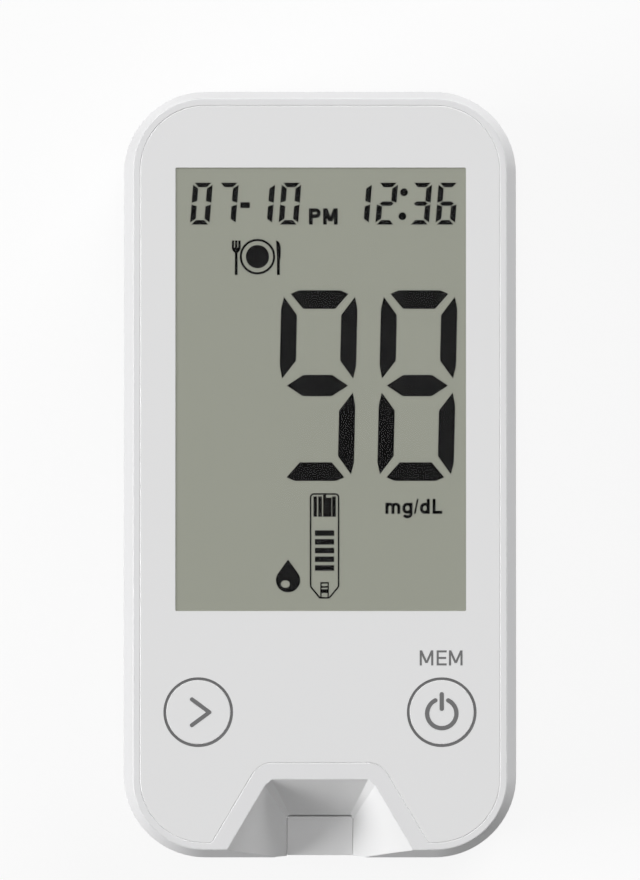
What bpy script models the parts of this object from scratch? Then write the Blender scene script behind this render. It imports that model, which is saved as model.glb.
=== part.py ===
"""Blood glucose meter with a strip port, two keys and a hinged battery door.

Every length is in metres. X runs across the meter, Y from the strip port up
to the top end, and Z from the back up to the face. The meter lies on its back
with the origin under the middle of the case.
"""
import math

import bmesh
import bpy
from mathutils import Matrix, Vector

# Driving sizes of the face
WINDOW_WIDTH = 0.0338
WINDOW_LENGTH = 0.0515
WINDOW_SIDE_MARGIN = 0.00615
WINDOW_TOP_MARGIN = 0.00945
WINDOW_TO_KEYS = 0.01175
KEYS_TO_PORT_END = 0.0173
KEY_TO_SIDE = 0.0089
CORNER_RADIUS = 0.0096

# Clearances
GAP = 0.0003
SIDE_GAP = 0.0002
BOND = 0.0001
OVERRUN = 0.001
SINK = 0.0004

# Thicknesses that make up the height of the meter, from the back to the face
DOOR_SET_BACK = 0.00015
DOOR_THICKNESS = 0.00115
DOOR_PAD_HEIGHT = 0.0003
CELL_THICKNESS = 0.0032
LEAF_ROOM = 0.0007
WELL_ROOF = 0.0008
BOARD_LIFT = 0.0005
BOARD_THICKNESS = 0.0012
CONNECTOR_FLOOR = 0.0005
PORT_DEPTH = 0.0086

# Walls of the two covers
WALL = 0.0016
BACK_THICKNESS = 0.0015
BACK_EDGE_RADIUS = 0.0035
REAR_LEAN = 0.0004
RIM_INSET = 0.00124
RIM_EDGE_RADIUS = 0.0003
PARTING_ABOVE_BOARD = 0.0025

# Faceplate and deck under it
FACEPLATE_INSET = 0.0021
FACEPLATE_THICKNESS = 0.0008
FACEPLATE_EDGE = 0.00015
DECK_THICKNESS = 0.0013

# Coin cells
CELL_RADIUS = 0.01
POCKET_WALL = 0.0012

# Places along the stack
DOOR_TOP = DOOR_SET_BACK + DOOR_THICKNESS
RECESS_TOP = DOOR_TOP + DOOR_PAD_HEIGHT
CELL_BOTTOM = RECESS_TOP + GAP
CELL_TOP = CELL_BOTTOM + CELL_THICKNESS
LEAF_BOTTOM = CELL_TOP + GAP
POCKET_TOP = LEAF_BOTTOM + LEAF_ROOM
WELL_TOP = POCKET_TOP + WELL_ROOF
BOARD_BOTTOM = WELL_TOP + BOARD_LIFT
BOARD_TOP = BOARD_BOTTOM + BOARD_THICKNESS
ON_BOARD = BOARD_TOP + GAP
PORT_FLOOR = ON_BOARD + CONNECTOR_FLOOR
FACE = PORT_FLOOR + PORT_DEPTH
PARTING = BOARD_TOP + PARTING_ABOVE_BOARD
FRONT_BOTTOM = PARTING + GAP
LEAN_TOP = FACE - RIM_EDGE_RADIUS
DECK_TOP = FACE - FACEPLATE_THICKNESS - SIDE_GAP
DECK_BOTTOM = DECK_TOP - DECK_THICKNESS

# Places on the face
HALF_WIDTH = WINDOW_WIDTH / 2 + WINDOW_SIDE_MARGIN
HALF_LENGTH = (WINDOW_TOP_MARGIN + WINDOW_LENGTH + WINDOW_TO_KEYS + KEYS_TO_PORT_END) / 2
WINDOW_TOP = HALF_LENGTH - WINDOW_TOP_MARGIN
WINDOW_BOTTOM = WINDOW_TOP - WINDOW_LENGTH
KEY_X = HALF_WIDTH - KEY_TO_SIDE
KEY_Y = WINDOW_BOTTOM - WINDOW_TO_KEYS

# Strip port, a funnel that opens to the face and to the end of the case
GUIDE_HALF_WIDTH = 0.0037
FLOOR_LENGTH = 0.00515
FLOOR_CHAMFER_X = 0.00045
FLOOR_CHAMFER_Y = 0.0003
MOUTH_LENGTH = 0.0095
MOUTH_CORNER_X = 0.0064
MOUTH_CHAMFER_X = 0.0008
MOUTH_CHAMFER_Y = 0.0007
MOUTH_FLARE_SHARE = 0.593
FUNNEL_WALL = 0.0013
BLOCK_BELOW_FLOOR = 0.0014
SLOT_ABOVE_FLOOR = 0.0009
GUIDE_END_INSET = 0.0002
CONNECTOR_HEIGHT = 0.0025
FLOOR_CORNER_X = GUIDE_HALF_WIDTH + SIDE_GAP
FUNNEL_BACK_Y = FLOOR_LENGTH - HALF_LENGTH
SLOT_START_Y = FUNNEL_BACK_Y - FLOOR_CHAMFER_Y - SIDE_GAP
BLOCK_BOTTOM = PORT_FLOOR - BLOCK_BELOW_FLOOR
CONNECTOR_SHARE = (CONNECTOR_HEIGHT - CONNECTOR_FLOOR) / PORT_DEPTH
BLOCK_BACK_Y = FUNNEL_BACK_Y + FUNNEL_WALL + CONNECTOR_SHARE * (MOUTH_LENGTH - FLOOR_LENGTH)
CONNECTOR_START_Y = BLOCK_BACK_Y + GAP
GUIDE_BACK_Y = CONNECTOR_START_Y - GAP

# Case screws, from the back into bosses of the front cover
SCREW_SHANK_RADIUS = 0.0008
SCREW_HEAD_RADIUS = 0.0014
SCREW_HEAD_HEIGHT = 0.0011
SCREW_SET_BACK = 0.0012
SCREW_LENGTH = 0.01
REAR_BOSS_RADIUS = 0.0024
FRONT_BOSS_RADIUS = 0.0018
REAR_BOSS_ABOVE_BOARD = 0.0008
TOP_SCREW_TO_END = 0.0049
TOP_SCREW_TO_SIDE = 0.00905
PORT_SCREW_TO_END = 0.0066
PORT_SCREW_TO_SIDE = 0.00755
THREAD_GAP = 0.00015
SCREW_SEAT = SCREW_SET_BACK + SCREW_HEAD_HEIGHT + GAP
SCREW_TIP = SCREW_SET_BACK + SCREW_HEAD_HEIGHT + SCREW_LENGTH
REAR_BOSS_TOP = BOARD_TOP + REAR_BOSS_ABOVE_BOARD
FRONT_BOSS_BOTTOM = REAR_BOSS_TOP + GAP
TOP_SCREW_Y = HALF_LENGTH - TOP_SCREW_TO_END
PORT_SCREW_Y = PORT_SCREW_TO_END - HALF_LENGTH
SCREW_PLACES = [
    (side * (HALF_WIDTH - to_side), y)
    for to_side, y in ((TOP_SCREW_TO_SIDE, TOP_SCREW_Y), (PORT_SCREW_TO_SIDE, PORT_SCREW_Y))
    for side in (-1, 1)
]

# Battery well and door
DOOR_TO_TOP_END = 0.0093
DOOR_LAP_END = 0.0019
DOOR_LAP_SIDE = 0.0018
DOOR_CORNER = 0.0015
HINGE_OFFSET = 0.0001
WELL_SIDE_WALL = 0.0011
WELL_END_WALL = 0.0013
SCOOP_LENGTH = 0.0037
POCKET_RADIUS = CELL_RADIUS + GAP
CELL_PITCH = 2 * POCKET_RADIUS + POCKET_WALL
DOOR_HALF_WIDTH = POCKET_RADIUS + DOOR_LAP_SIDE
DOOR_END_Y = HALF_LENGTH - DOOR_TO_TOP_END
UPPER_CELL_Y = DOOR_END_Y - DOOR_LAP_END - POCKET_RADIUS
LOWER_CELL_Y = UPPER_CELL_Y - CELL_PITCH
CELL_PLACES = (LOWER_CELL_Y, UPPER_CELL_Y)
DOOR_START_Y = LOWER_CELL_Y - POCKET_RADIUS - DOOR_LAP_END
HINGE_Y = DOOR_START_Y - HINGE_OFFSET

# Main board, between the four screw bosses
BOARD_SIDE_ROOM = 0.00185
BOARD_END_ROOM = 0.0005
BOARD_CORNER = 0.0015
BOARD_HALF_WIDTH = HALF_WIDTH - WALL - BOARD_SIDE_ROOM
BOARD_TOP_Y = TOP_SCREW_Y - REAR_BOSS_RADIUS - BOARD_END_ROOM
BOARD_PORT_Y = PORT_SCREW_Y + REAR_BOSS_RADIUS + BOARD_END_ROOM

# Display glass and the frame that carries it
GLASS_MARGIN = 0.0007
LEDGE_LENGTH = 0.0025
POLARISER_THICKNESS = 0.0002
GLASS_THICKNESS = 0.0007
FRAME_WALL = 0.0008
GLASS_HALF_WIDTH = WINDOW_WIDTH / 2 + GLASS_MARGIN
GLASS_TOP_Y = WINDOW_TOP + GLASS_MARGIN
GLASS_BOTTOM_Y = WINDOW_BOTTOM - GLASS_MARGIN
LEDGE_Y = GLASS_BOTTOM_Y - LEDGE_LENGTH
FRONT_GLASS_TOP = DECK_TOP - POLARISER_THICKNESS - BOND
REAR_GLASS_TOP = FRONT_GLASS_TOP - GLASS_THICKNESS - BOND
REAR_POLARISER_TOP = REAR_GLASS_TOP - GLASS_THICKNESS - BOND

# Strip connector on the main board
CONNECTOR_HALF_WIDTH = 0.0052
CONNECTOR_LENGTH = 0.0105
CONNECTOR_END_Y = CONNECTOR_START_Y + CONNECTOR_LENGTH

# Keys and the rubber domes under them
KEY_RADIUS = 0.0038
KEY_HOLE_GAP = 0.00025
DOME_HEIGHT = 0.0028
DOME_RADIUS = 0.004
DOME_TOP = ON_BOARD + DOME_HEIGHT

# Corner and turning steps, and the distance under which points are merged
CORNER_STEPS = 8
EDGE_STEPS = 5
FILLET_STEPS = 5
FUNNEL_STEPS = 8
FINE_STEPS = 40
ROUND_STEPS = 28
SMALL_STEPS = 16
MERGE = 0.00001
SMOOTH_ANGLE = math.radians(35)

# Colour, roughness and metallic value of each finish
FINISHES = {
    "case_white": ((0.70, 0.70, 0.71), 0.42, 0.0),
    "face_white": ((0.72, 0.72, 0.73), 0.36, 0.0),
    "guide_grey": ((0.42, 0.42, 0.43), 0.45, 0.0),
    "clear": ((0.93, 0.94, 0.93), 0.04, 0.0),
    "display_grey": ((0.30, 0.31, 0.26), 0.30, 0.0),
    "frame_white": ((0.80, 0.80, 0.78), 0.50, 0.0),
    "rubber_grey": ((0.20, 0.20, 0.21), 0.70, 0.0),
    "board_green": ((0.02, 0.15, 0.06), 0.45, 0.0),
    "chip_black": ((0.02, 0.02, 0.022), 0.50, 0.0),
    "connector_black": ((0.03, 0.03, 0.032), 0.55, 0.0),
    "gold": ((0.83, 0.60, 0.24), 0.28, 1.0),
    "nickel": ((0.62, 0.61, 0.58), 0.25, 1.0),
    "steel": ((0.56, 0.57, 0.58), 0.30, 1.0),
}

for leftover in list(bpy.data.objects):
    bpy.data.objects.remove(leftover, do_unlink=True)


def new_collection(name):
    """An empty collection in the scene."""
    made = bpy.data.collections.new(name)
    bpy.context.scene.collection.children.link(made)
    return made


PARTS = new_collection("blood_glucose_meter")
CUTTERS = new_collection("cutters")


def finish_material(name, finish):
    """A plain material with the colour, roughness and metallic value of a finish."""
    colour, roughness, metallic = FINISHES[finish]
    material = bpy.data.materials.new(name)
    material.use_nodes = True
    shader = material.node_tree.nodes["Principled BSDF"]
    shader.inputs["Base Color"].default_value = (*colour, 1.0)
    shader.inputs["Roughness"].default_value = roughness
    shader.inputs["Metallic"].default_value = metallic
    material.diffuse_color = (*colour, 1.0)
    return material


def add_part(name, mesh, finish):
    """A piece of the meter, shaded smooth except across sharp edges."""
    part = bpy.data.objects.new(name, mesh)
    PARTS.objects.link(part)
    mesh.materials.append(finish_material(name + "_finish", finish))
    mesh.shade_smooth()
    mesh.set_sharp_from_angle(angle=SMOOTH_ANGLE)
    return part


def add_tool(name, mesh):
    """A body that only cuts or joins, and is no piece of the meter."""
    tool = bpy.data.objects.new(name, mesh)
    CUTTERS.objects.link(tool)
    tool.hide_render = True
    tool.display_type = "WIRE"
    return tool


def combine(part, operation, name, mesh):
    """Cut a mesh from a part, or join it on, with an exact Boolean."""
    step = part.modifiers.new(name, "BOOLEAN")
    step.operation = operation
    step.solver = "EXACT"
    step.object = add_tool(name, mesh)


def cut(part, name, mesh):
    combine(part, "DIFFERENCE", name, mesh)


def join(part, name, mesh):
    combine(part, "UNION", name, mesh)


def bevel(part, width, segments=1):
    """Break the sharp edges of a part."""
    step = part.modifiers.new("Bevel", "BEVEL")
    step.width = width
    step.segments = segments
    step.limit_method = "ANGLE"
    step.angle_limit = SMOOTH_ANGLE


def set_origin(part, point):
    """Move the origin of a part to a point and leave its shape where it is."""
    part.data.transform(Matrix.Translation(-Vector(point)))
    part.location = point


def finished_mesh(name, tool):
    """A mesh from a bmesh, which is then freed."""
    mesh = bpy.data.meshes.new(name)
    tool.to_mesh(mesh)
    tool.free()
    return mesh


def box_mesh(name, *corner_pairs):
    """Separate boxes, each between its lowest and its highest corner."""
    tool = bmesh.new()
    for low, high in corner_pairs:
        low, high = Vector(low), Vector(high)
        place = Matrix.Translation((low + high) / 2) @ Matrix.Diagonal((*(high - low), 1))
        bmesh.ops.create_cube(tool, size=1, matrix=place)
    return finished_mesh(name, tool)


def cylinder_mesh(name, centres, radius, bottom, top, segments=SMALL_STEPS):
    """Separate upright cylinders of one radius between two heights."""
    tool = bmesh.new()
    for x, y in centres:
        place = Matrix.Translation((x, y, (bottom + top) / 2))
        bmesh.ops.create_cone(
            tool, cap_ends=True, segments=segments, radius1=radius, radius2=radius,
            depth=top - bottom, matrix=place,
        )
    return finished_mesh(name, tool)


def lying_cylinder_mesh(name, radius, half_length, y, z, segments=ROUND_STEPS):
    """A cylinder along X, centred on the middle of the meter."""
    tool = bmesh.new()
    place = Matrix.Translation((0, y, z)) @ Matrix.Rotation(math.pi / 2, 4, "Y")
    bmesh.ops.create_cone(
        tool, cap_ends=True, segments=segments, radius1=radius, radius2=radius,
        depth=2 * half_length, matrix=place,
    )
    return finished_mesh(name, tool)


def loft_mesh(name, rings):
    """A closed solid through rings of equally many points, from the lowest up."""
    tool = bmesh.new()
    levels = [[tool.verts.new(point) for point in ring] for ring in rings]
    for lower, upper in zip(levels, levels[1:]):
        for i, corner in enumerate(lower):
            tool.faces.new((lower[i - 1], corner, upper[i], upper[i - 1]))
    tool.faces.new(reversed(levels[0]))
    tool.faces.new(levels[-1])
    return finished_mesh(name, tool)


def rounded(corners, radii, steps):
    """The corners of an outline, each turned into an arc that its sides can hold.

    Two arcs that need more than the side between them are made smaller by one share.
    """
    corners = [Vector(corner) for corner in corners]
    sides = [corners[i - 1] - here for i, here in enumerate(corners)]
    sides.append(sides[0])
    turns = [sides[i].angle(-sides[i + 1]) for i in range(len(corners))]
    reaches = [radii[i] * math.tan((math.pi - turn) / 2) for i, turn in enumerate(turns)]
    shares = [
        min(1, sides[i].length / max(reaches[i - 1] + reaches[i], MERGE)) for i in range(len(corners))
    ]
    shares.append(shares[0])
    points = []
    for i, here in enumerate(corners):
        back = sides[i]
        ahead = -sides[i + 1]
        turn = math.pi - turns[i]
        reach = reaches[i] * min(shares[i], shares[i + 1])
        if reach <= MERGE:
            points.append(here)
            continue
        start = here + back.normalized() * reach
        radius = reach / math.tan(turn / 2)
        side = math.copysign(1, back.cross(ahead))
        heading = math.atan2(-back.y, -back.x)
        centre = start + side * radius * Vector((math.sin(heading), -math.cos(heading)))
        for step in range(steps + 1):
            angle = heading - side * turn * step / steps
            spoke = Vector((-math.sin(angle), math.cos(angle)))
            points.append(centre + side * radius * spoke)
    return points


def grown(corners, distance):
    """An anticlockwise outline with every side moved outward by a distance."""
    corners = [Vector(corner) for corner in corners]
    moved = []
    for i, here in enumerate(corners):
        before = (here - corners[i - 1]).normalized()
        after = (corners[(i + 1) % len(corners)] - here).normalized()
        first = Vector((before.y, -before.x))
        second = Vector((after.y, -after.x))
        moved.append(here + distance * (first + second) / (1 + first.dot(second)))
    return moved


def rectangle(half_width, low_y, high_y, radius=0, steps=FILLET_STEPS):
    """An anticlockwise rectangle with round corners, centred across the meter."""
    corners = (
        (-half_width, low_y), (half_width, low_y),
        (half_width, high_y), (-half_width, high_y),
    )
    return rounded(corners, [radius] * len(corners), steps)


def circle(x, y, radius, steps=ROUND_STEPS):
    """The points of a circle."""
    angles = [2 * math.pi * step / steps for step in range(steps)]
    return [(x + radius * math.cos(angle), y + radius * math.sin(angle)) for angle in angles]


def plate_mesh(name, outlines, bottom, top):
    """A flat plate with square sides: a filled curve, extruded and welded."""
    curve = bpy.data.curves.new(name, "CURVE")
    curve.dimensions = "2D"
    curve.fill_mode = "BOTH"
    curve.extrude = (top - bottom) / 2
    for outline in outlines:
        spline = curve.splines.new("POLY")
        spline.points.add(len(outline) - 1)
        spline.use_cyclic_u = True
        for point, (x, y) in zip(spline.points, outline):
            point.co = (x, y, 0, 1)
    holder = bpy.data.objects.new(name + "_curve", curve)
    CUTTERS.objects.link(holder)
    shape = holder.evaluated_get(bpy.context.evaluated_depsgraph_get())
    mesh = bpy.data.meshes.new_from_object(shape)
    mesh.name = name
    bpy.data.objects.remove(holder)
    bpy.data.curves.remove(curve)
    tool = bmesh.new()
    tool.from_mesh(mesh)
    bmesh.ops.remove_doubles(tool, verts=tool.verts, dist=MERGE)
    bmesh.ops.recalc_face_normals(tool, faces=tool.faces)
    bmesh.ops.translate(tool, verts=tool.verts, vec=(0, 0, (bottom + top) / 2))
    tool.to_mesh(mesh)
    tool.free()
    return mesh


def strip_mesh(name, path, thickness, low, high, across_x):
    """A bent metal strip: a path in an upright plane, given thickness and width.

    The path runs in Y and Z where the strip's width lies across X, and in X
    and Z where it lies along Y. The width goes from low to high.
    """
    path = [Vector(point) for point in path]
    left, right = [], []
    for i, here in enumerate(path):
        before = (here - path[i - 1]).normalized() if i else None
        after = (path[i + 1] - here).normalized() if i + 1 < len(path) else None
        before, after = before or after, after or before
        first = Vector((-before.y, before.x))
        second = Vector((-after.y, after.x))
        mitre = thickness / 2 * (first + second) / (1 + first.dot(second))
        left.append(here + mitre)
        right.append(here - mitre)
    mesh = plate_mesh(name, [right + left[::-1]], low, high)
    if across_x:
        mesh.transform(Matrix(((0, 0, 1, 0), (1, 0, 0, 0), (0, 1, 0, 0), (0, 0, 0, 1))))
    else:
        mesh.transform(Matrix.Rotation(math.pi / 2, 4, "X"))
    return mesh


def turned(name, profile, place, finish, steps=ROUND_STEPS):
    """A round piece: corners of (radius, height), spun about an upright axis."""
    mesh = bpy.data.meshes.new(name)
    points = [(radius, 0, height) for radius, height in profile]
    mesh.from_pydata(points, [(i, i + 1) for i in range(len(points) - 1)], [])
    part = add_part(name, mesh, finish)
    part.location = (*place, 0)
    spin = part.modifiers.new("Turn", "SCREW")
    spin.steps = steps
    spin.render_steps = steps
    spin.use_merge_vertices = True
    spin.merge_threshold = MERGE
    spin.use_smooth_shade = False
    return part


def case_inset(height):
    """How far the outer wall stands in from the widest outline at a height."""
    if height < BACK_EDGE_RADIUS:
        drop = BACK_EDGE_RADIUS - height
        return REAR_LEAN + BACK_EDGE_RADIUS - math.sqrt(BACK_EDGE_RADIUS ** 2 - drop ** 2)
    if height < PARTING:
        return REAR_LEAN * (PARTING - height) / (PARTING - BACK_EDGE_RADIUS)
    if height < FRONT_BOTTOM:
        return 0
    if height < LEAN_TOP:
        return RIM_INSET * (height - FRONT_BOTTOM) / (LEAN_TOP - FRONT_BOTTOM)
    rise = min(height - LEAN_TOP, RIM_EDGE_RADIUS)
    return RIM_INSET + RIM_EDGE_RADIUS - math.sqrt(RIM_EDGE_RADIUS ** 2 - rise ** 2)


def case_outline(inset):
    """The rounded outline of the case, drawn in by an inset."""
    return rectangle(
        HALF_WIDTH - inset, inset - HALF_LENGTH, HALF_LENGTH - inset,
        CORNER_RADIUS - inset, CORNER_STEPS,
    )


def case_mesh(name, bottom, top, inset=0):
    """The outer form of the case between two heights, drawn in all round."""
    heights = {bottom, top, BACK_EDGE_RADIUS, PARTING, FRONT_BOTTOM, LEAN_TOP}
    for step in range(1, EDGE_STEPS):
        angle = math.pi / 2 * step / EDGE_STEPS
        heights.add(BACK_EDGE_RADIUS * (1 - math.cos(angle)))
        heights.add(LEAN_TOP + RIM_EDGE_RADIUS * math.sin(angle))
    rings = []
    for height in sorted(h for h in heights if bottom <= h <= top):
        outline = case_outline(case_inset(max(height, 0)) + inset)
        rings.append([(x, y, height) for x, y in outline])
    return loft_mesh(name, rings)


def funnel_corners(height):
    """Corners of the strip port at a height, from the case end round its back."""
    share = max(0, (height - PORT_FLOOR) / PORT_DEPTH)
    corner_x = FLOOR_CORNER_X + share * (MOUTH_CORNER_X - FLOOR_CORNER_X)
    chamfer_x = FLOOR_CHAMFER_X + share * (MOUTH_CHAMFER_X - FLOOR_CHAMFER_X)
    chamfer_y = FLOOR_CHAMFER_Y + share * (MOUTH_CHAMFER_Y - FLOOR_CHAMFER_Y)
    back_y = FUNNEL_BACK_Y + share * (MOUTH_LENGTH - FLOOR_LENGTH)
    corner_y = back_y - chamfer_y
    end_y = -HALF_LENGTH - OVERRUN
    end_x = corner_x + share * MOUTH_FLARE_SHARE * (corner_y - end_y)
    half = ((end_x, end_y), (corner_x, corner_y), (corner_x - chamfer_x, back_y))
    return [*half, *((-x, y) for x, y in reversed(half))]


def funnel_mesh(name, bottom, top, grow=0):
    """The space of the strip port between two heights, or a block round it."""
    rise = max(top - PORT_FLOOR, 0)
    heights = [bottom]
    heights += [PORT_FLOOR + rise * step / FUNNEL_STEPS for step in range(FUNNEL_STEPS + 1)]
    rings = []
    for height in heights:
        rings.append([(x, y, height) for x, y in grown(funnel_corners(height), grow)])
    return loft_mesh(name, rings)


# Faceplate's own sizes
FACEPLATE_NOTCH_TOP_MARGIN = 0.0019
FACEPLATE_NOTCH_SIDE_MARGIN = 0.0019
FACEPLATE_NOTCH_RADIUS = 0.0028
FACEPLATE_TOE_RADIUS = 0.0005
WINDOW_CORNER = 0.0005


def faceplate_outline(grow=0):
    """The faceplate's edge, which steps round the strip port at the lower end."""
    half_width = HALF_WIDTH - FACEPLATE_INSET
    half_length = HALF_LENGTH - FACEPLATE_INSET
    corner_radius = CORNER_RADIUS - FACEPLATE_INSET
    corner_y = MOUTH_LENGTH - HALF_LENGTH - MOUTH_CHAMFER_Y
    top_y = MOUTH_LENGTH - HALF_LENGTH + FACEPLATE_NOTCH_TOP_MARGIN
    margin_x = FACEPLATE_NOTCH_SIDE_MARGIN * math.hypot(1, MOUTH_FLARE_SHARE)
    top_x = MOUTH_CORNER_X + margin_x + MOUTH_FLARE_SHARE * (corner_y - top_y)
    end_x = MOUTH_CORNER_X + margin_x + MOUTH_FLARE_SHARE * (corner_y + half_length)
    corners = (
        (-half_width, -half_length), (-end_x, -half_length), (-top_x, top_y),
        (top_x, top_y), (end_x, -half_length), (half_width, -half_length),
        (half_width, half_length), (-half_width, half_length),
    )
    radii = (
        corner_radius + grow, FACEPLATE_TOE_RADIUS, FACEPLATE_NOTCH_RADIUS,
        FACEPLATE_NOTCH_RADIUS, FACEPLATE_TOE_RADIUS, corner_radius + grow,
        corner_radius + grow, corner_radius + grow,
    )
    return rounded(grown(corners, grow), radii, CORNER_STEPS)


def build_faceplate():
    """The white plate that carries the window and the key holes."""
    window = rectangle(WINDOW_WIDTH / 2, WINDOW_BOTTOM, WINDOW_TOP, WINDOW_CORNER)
    holes = [circle(side * KEY_X, KEY_Y, KEY_RADIUS + KEY_HOLE_GAP, FINE_STEPS) for side in (-1, 1)]
    outlines = [faceplate_outline(), window, *holes]
    mesh = plate_mesh("faceplate", outlines, FACE - FACEPLATE_THICKNESS, FACE)
    bevel(add_part("faceplate", mesh, "face_white"), FACEPLATE_EDGE)


# Front cover's own sizes
LIP_HEIGHT = 0.0012
LIP_INSET = 0.0009
REBATE_INSET = 0.0007
DECK_HOLE_GAP = 0.0005
BLOCK_INSET = 0.00005
SLOT_SIDE_GAP = 0.00015
SCREW_HOLE_ROOM = 0.0022


def build_front_cover():
    """The rim round the face, with its deck, screw bosses and strip port."""
    cover = add_part("front_cover", case_mesh("front_cover", FRONT_BOTTOM, FACE), "case_white")
    hollow = case_mesh("front_hollow", FRONT_BOTTOM - OVERRUN, DECK_BOTTOM, WALL)
    cut(cover, "front_hollow", hollow)
    rebate_top = PARTING + LIP_HEIGHT + GAP
    rebate = plate_mesh(
        "front_rebate", [case_outline(REBATE_INSET)], FRONT_BOTTOM - OVERRUN, rebate_top
    )
    cut(cover, "front_rebate", rebate)
    bosses = cylinder_mesh(
        "front_bosses", SCREW_PLACES, FRONT_BOSS_RADIUS, FRONT_BOSS_BOTTOM, DECK_BOTTOM + SINK
    )
    join(cover, "front_bosses", bosses)
    block = add_tool("port_block", funnel_mesh("port_block", BLOCK_BOTTOM, DECK_BOTTOM + SINK, FUNNEL_WALL))
    trim = case_mesh("port_block_trim", BLOCK_BOTTOM - OVERRUN, FACE, BLOCK_INSET)
    combine(block, "INTERSECT", "port_block_trim", trim)
    step = cover.modifiers.new("port_block", "BOOLEAN")
    step.operation = "UNION"
    step.object = block
    pocket = plate_mesh("faceplate_pocket", [faceplate_outline(SIDE_GAP)], DECK_TOP, FACE + OVERRUN)
    cut(cover, "faceplate_pocket", pocket)
    opening = rectangle(GLASS_HALF_WIDTH + GAP, LEDGE_Y - GAP, GLASS_TOP_Y + GAP)
    display_hole = plate_mesh("display_hole", [opening], DECK_BOTTOM - OVERRUN, DECK_TOP + OVERRUN)
    cut(cover, "display_hole", display_hole)
    key_places = [(side * KEY_X, KEY_Y) for side in (-1, 1)]
    key_holes = cylinder_mesh(
        "key_holes", key_places, KEY_RADIUS + DECK_HOLE_GAP,
        DECK_BOTTOM - OVERRUN, DECK_TOP + OVERRUN, ROUND_STEPS,
    )
    cut(cover, "key_holes", key_holes)
    cut(cover, "port_space", funnel_mesh("port_space", BLOCK_BOTTOM - OVERRUN, FACE + OVERRUN))
    slot_half = GUIDE_HALF_WIDTH + SLOT_SIDE_GAP
    slot = box_mesh("strip_slot", (
        (-slot_half, SLOT_START_Y, BLOCK_BOTTOM - OVERRUN),
        (slot_half, GUIDE_BACK_Y + OVERRUN, PORT_FLOOR + SLOT_ABOVE_FLOOR),
    ))
    cut(cover, "strip_slot", slot)
    screw_holes = cylinder_mesh(
        "front_screw_holes", SCREW_PLACES, SCREW_SHANK_RADIUS + THREAD_GAP,
        FRONT_BOSS_BOTTOM - OVERRUN, SCREW_TIP + SCREW_HOLE_ROOM,
    )
    cut(cover, "front_screw_holes", screw_holes)


# Rear cover's own sizes
LIP_THICKNESS = 0.0007
COUNTERBORE_GAP = 0.0003
SHANK_HOLE_GAP = 0.0003
POST_RADIUS = 0.0015
POST_TO_SIDE = 0.00545
POST_Y = 0.022
PEDESTAL_INSET = 0.0003
LABEL_DEPTH = 0.0002
LABEL_HALF_WIDTH = 0.0125
LABEL_CORNER = 0.001
LABEL_TO_END = 0.0075
LABEL_TO_DOOR = 0.007
SOUND_HOLE_RADIUS = 0.0006
SOUND_HOLE_PITCH = 0.0025
SOUND_HOLES_TO_DOOR = 0.0047
FINGER_RADIUS = 0.004
FINGER_DEPTH = 0.0012
FINGER_HALF_WIDTH = 0.004

# Hooks of the battery door, which swing in slots of the rear cover
HOOK_X = 0.007
HOOK_HALF_WIDTH = 0.0018
HOOK_LIFT = 0.00055
HOOK_THICKNESS = 0.00095
HOOK_REACH = 0.0015
HOOK_RISER_OFFSET = 0.0001
HOOK_STEP = 0.0001
HOOK_RISER_LENGTH = 0.001
HOOK_BOTTOM = DOOR_TOP + HOOK_LIFT
HOOK_TOP = HOOK_BOTTOM + HOOK_THICKNESS
HOOK_TIP_Y = DOOR_START_Y - HOOK_REACH

# Battery contacts
CONTACT_THICKNESS = 0.0002
CONTACT_TOP = BOARD_BOTTOM - SIDE_GAP
LEAF_HALF_WIDTH = 0.002
LEAF_HALF_LENGTH = 0.0048
BLADE_HALF_WIDTH = 0.0025
BLADE_SPRING = 0.0004
BLADE_ROOM = 0.0013


def hook_boxes(side_gap, low_y, high_y, bottom, top):
    """The two boxes of the door's hooks or of the slots round them."""
    half = HOOK_HALF_WIDTH + side_gap
    return [
        ((side * HOOK_X - half, low_y, bottom), (side * HOOK_X + half, high_y, top))
        for side in (-1, 1)
    ]


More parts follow.
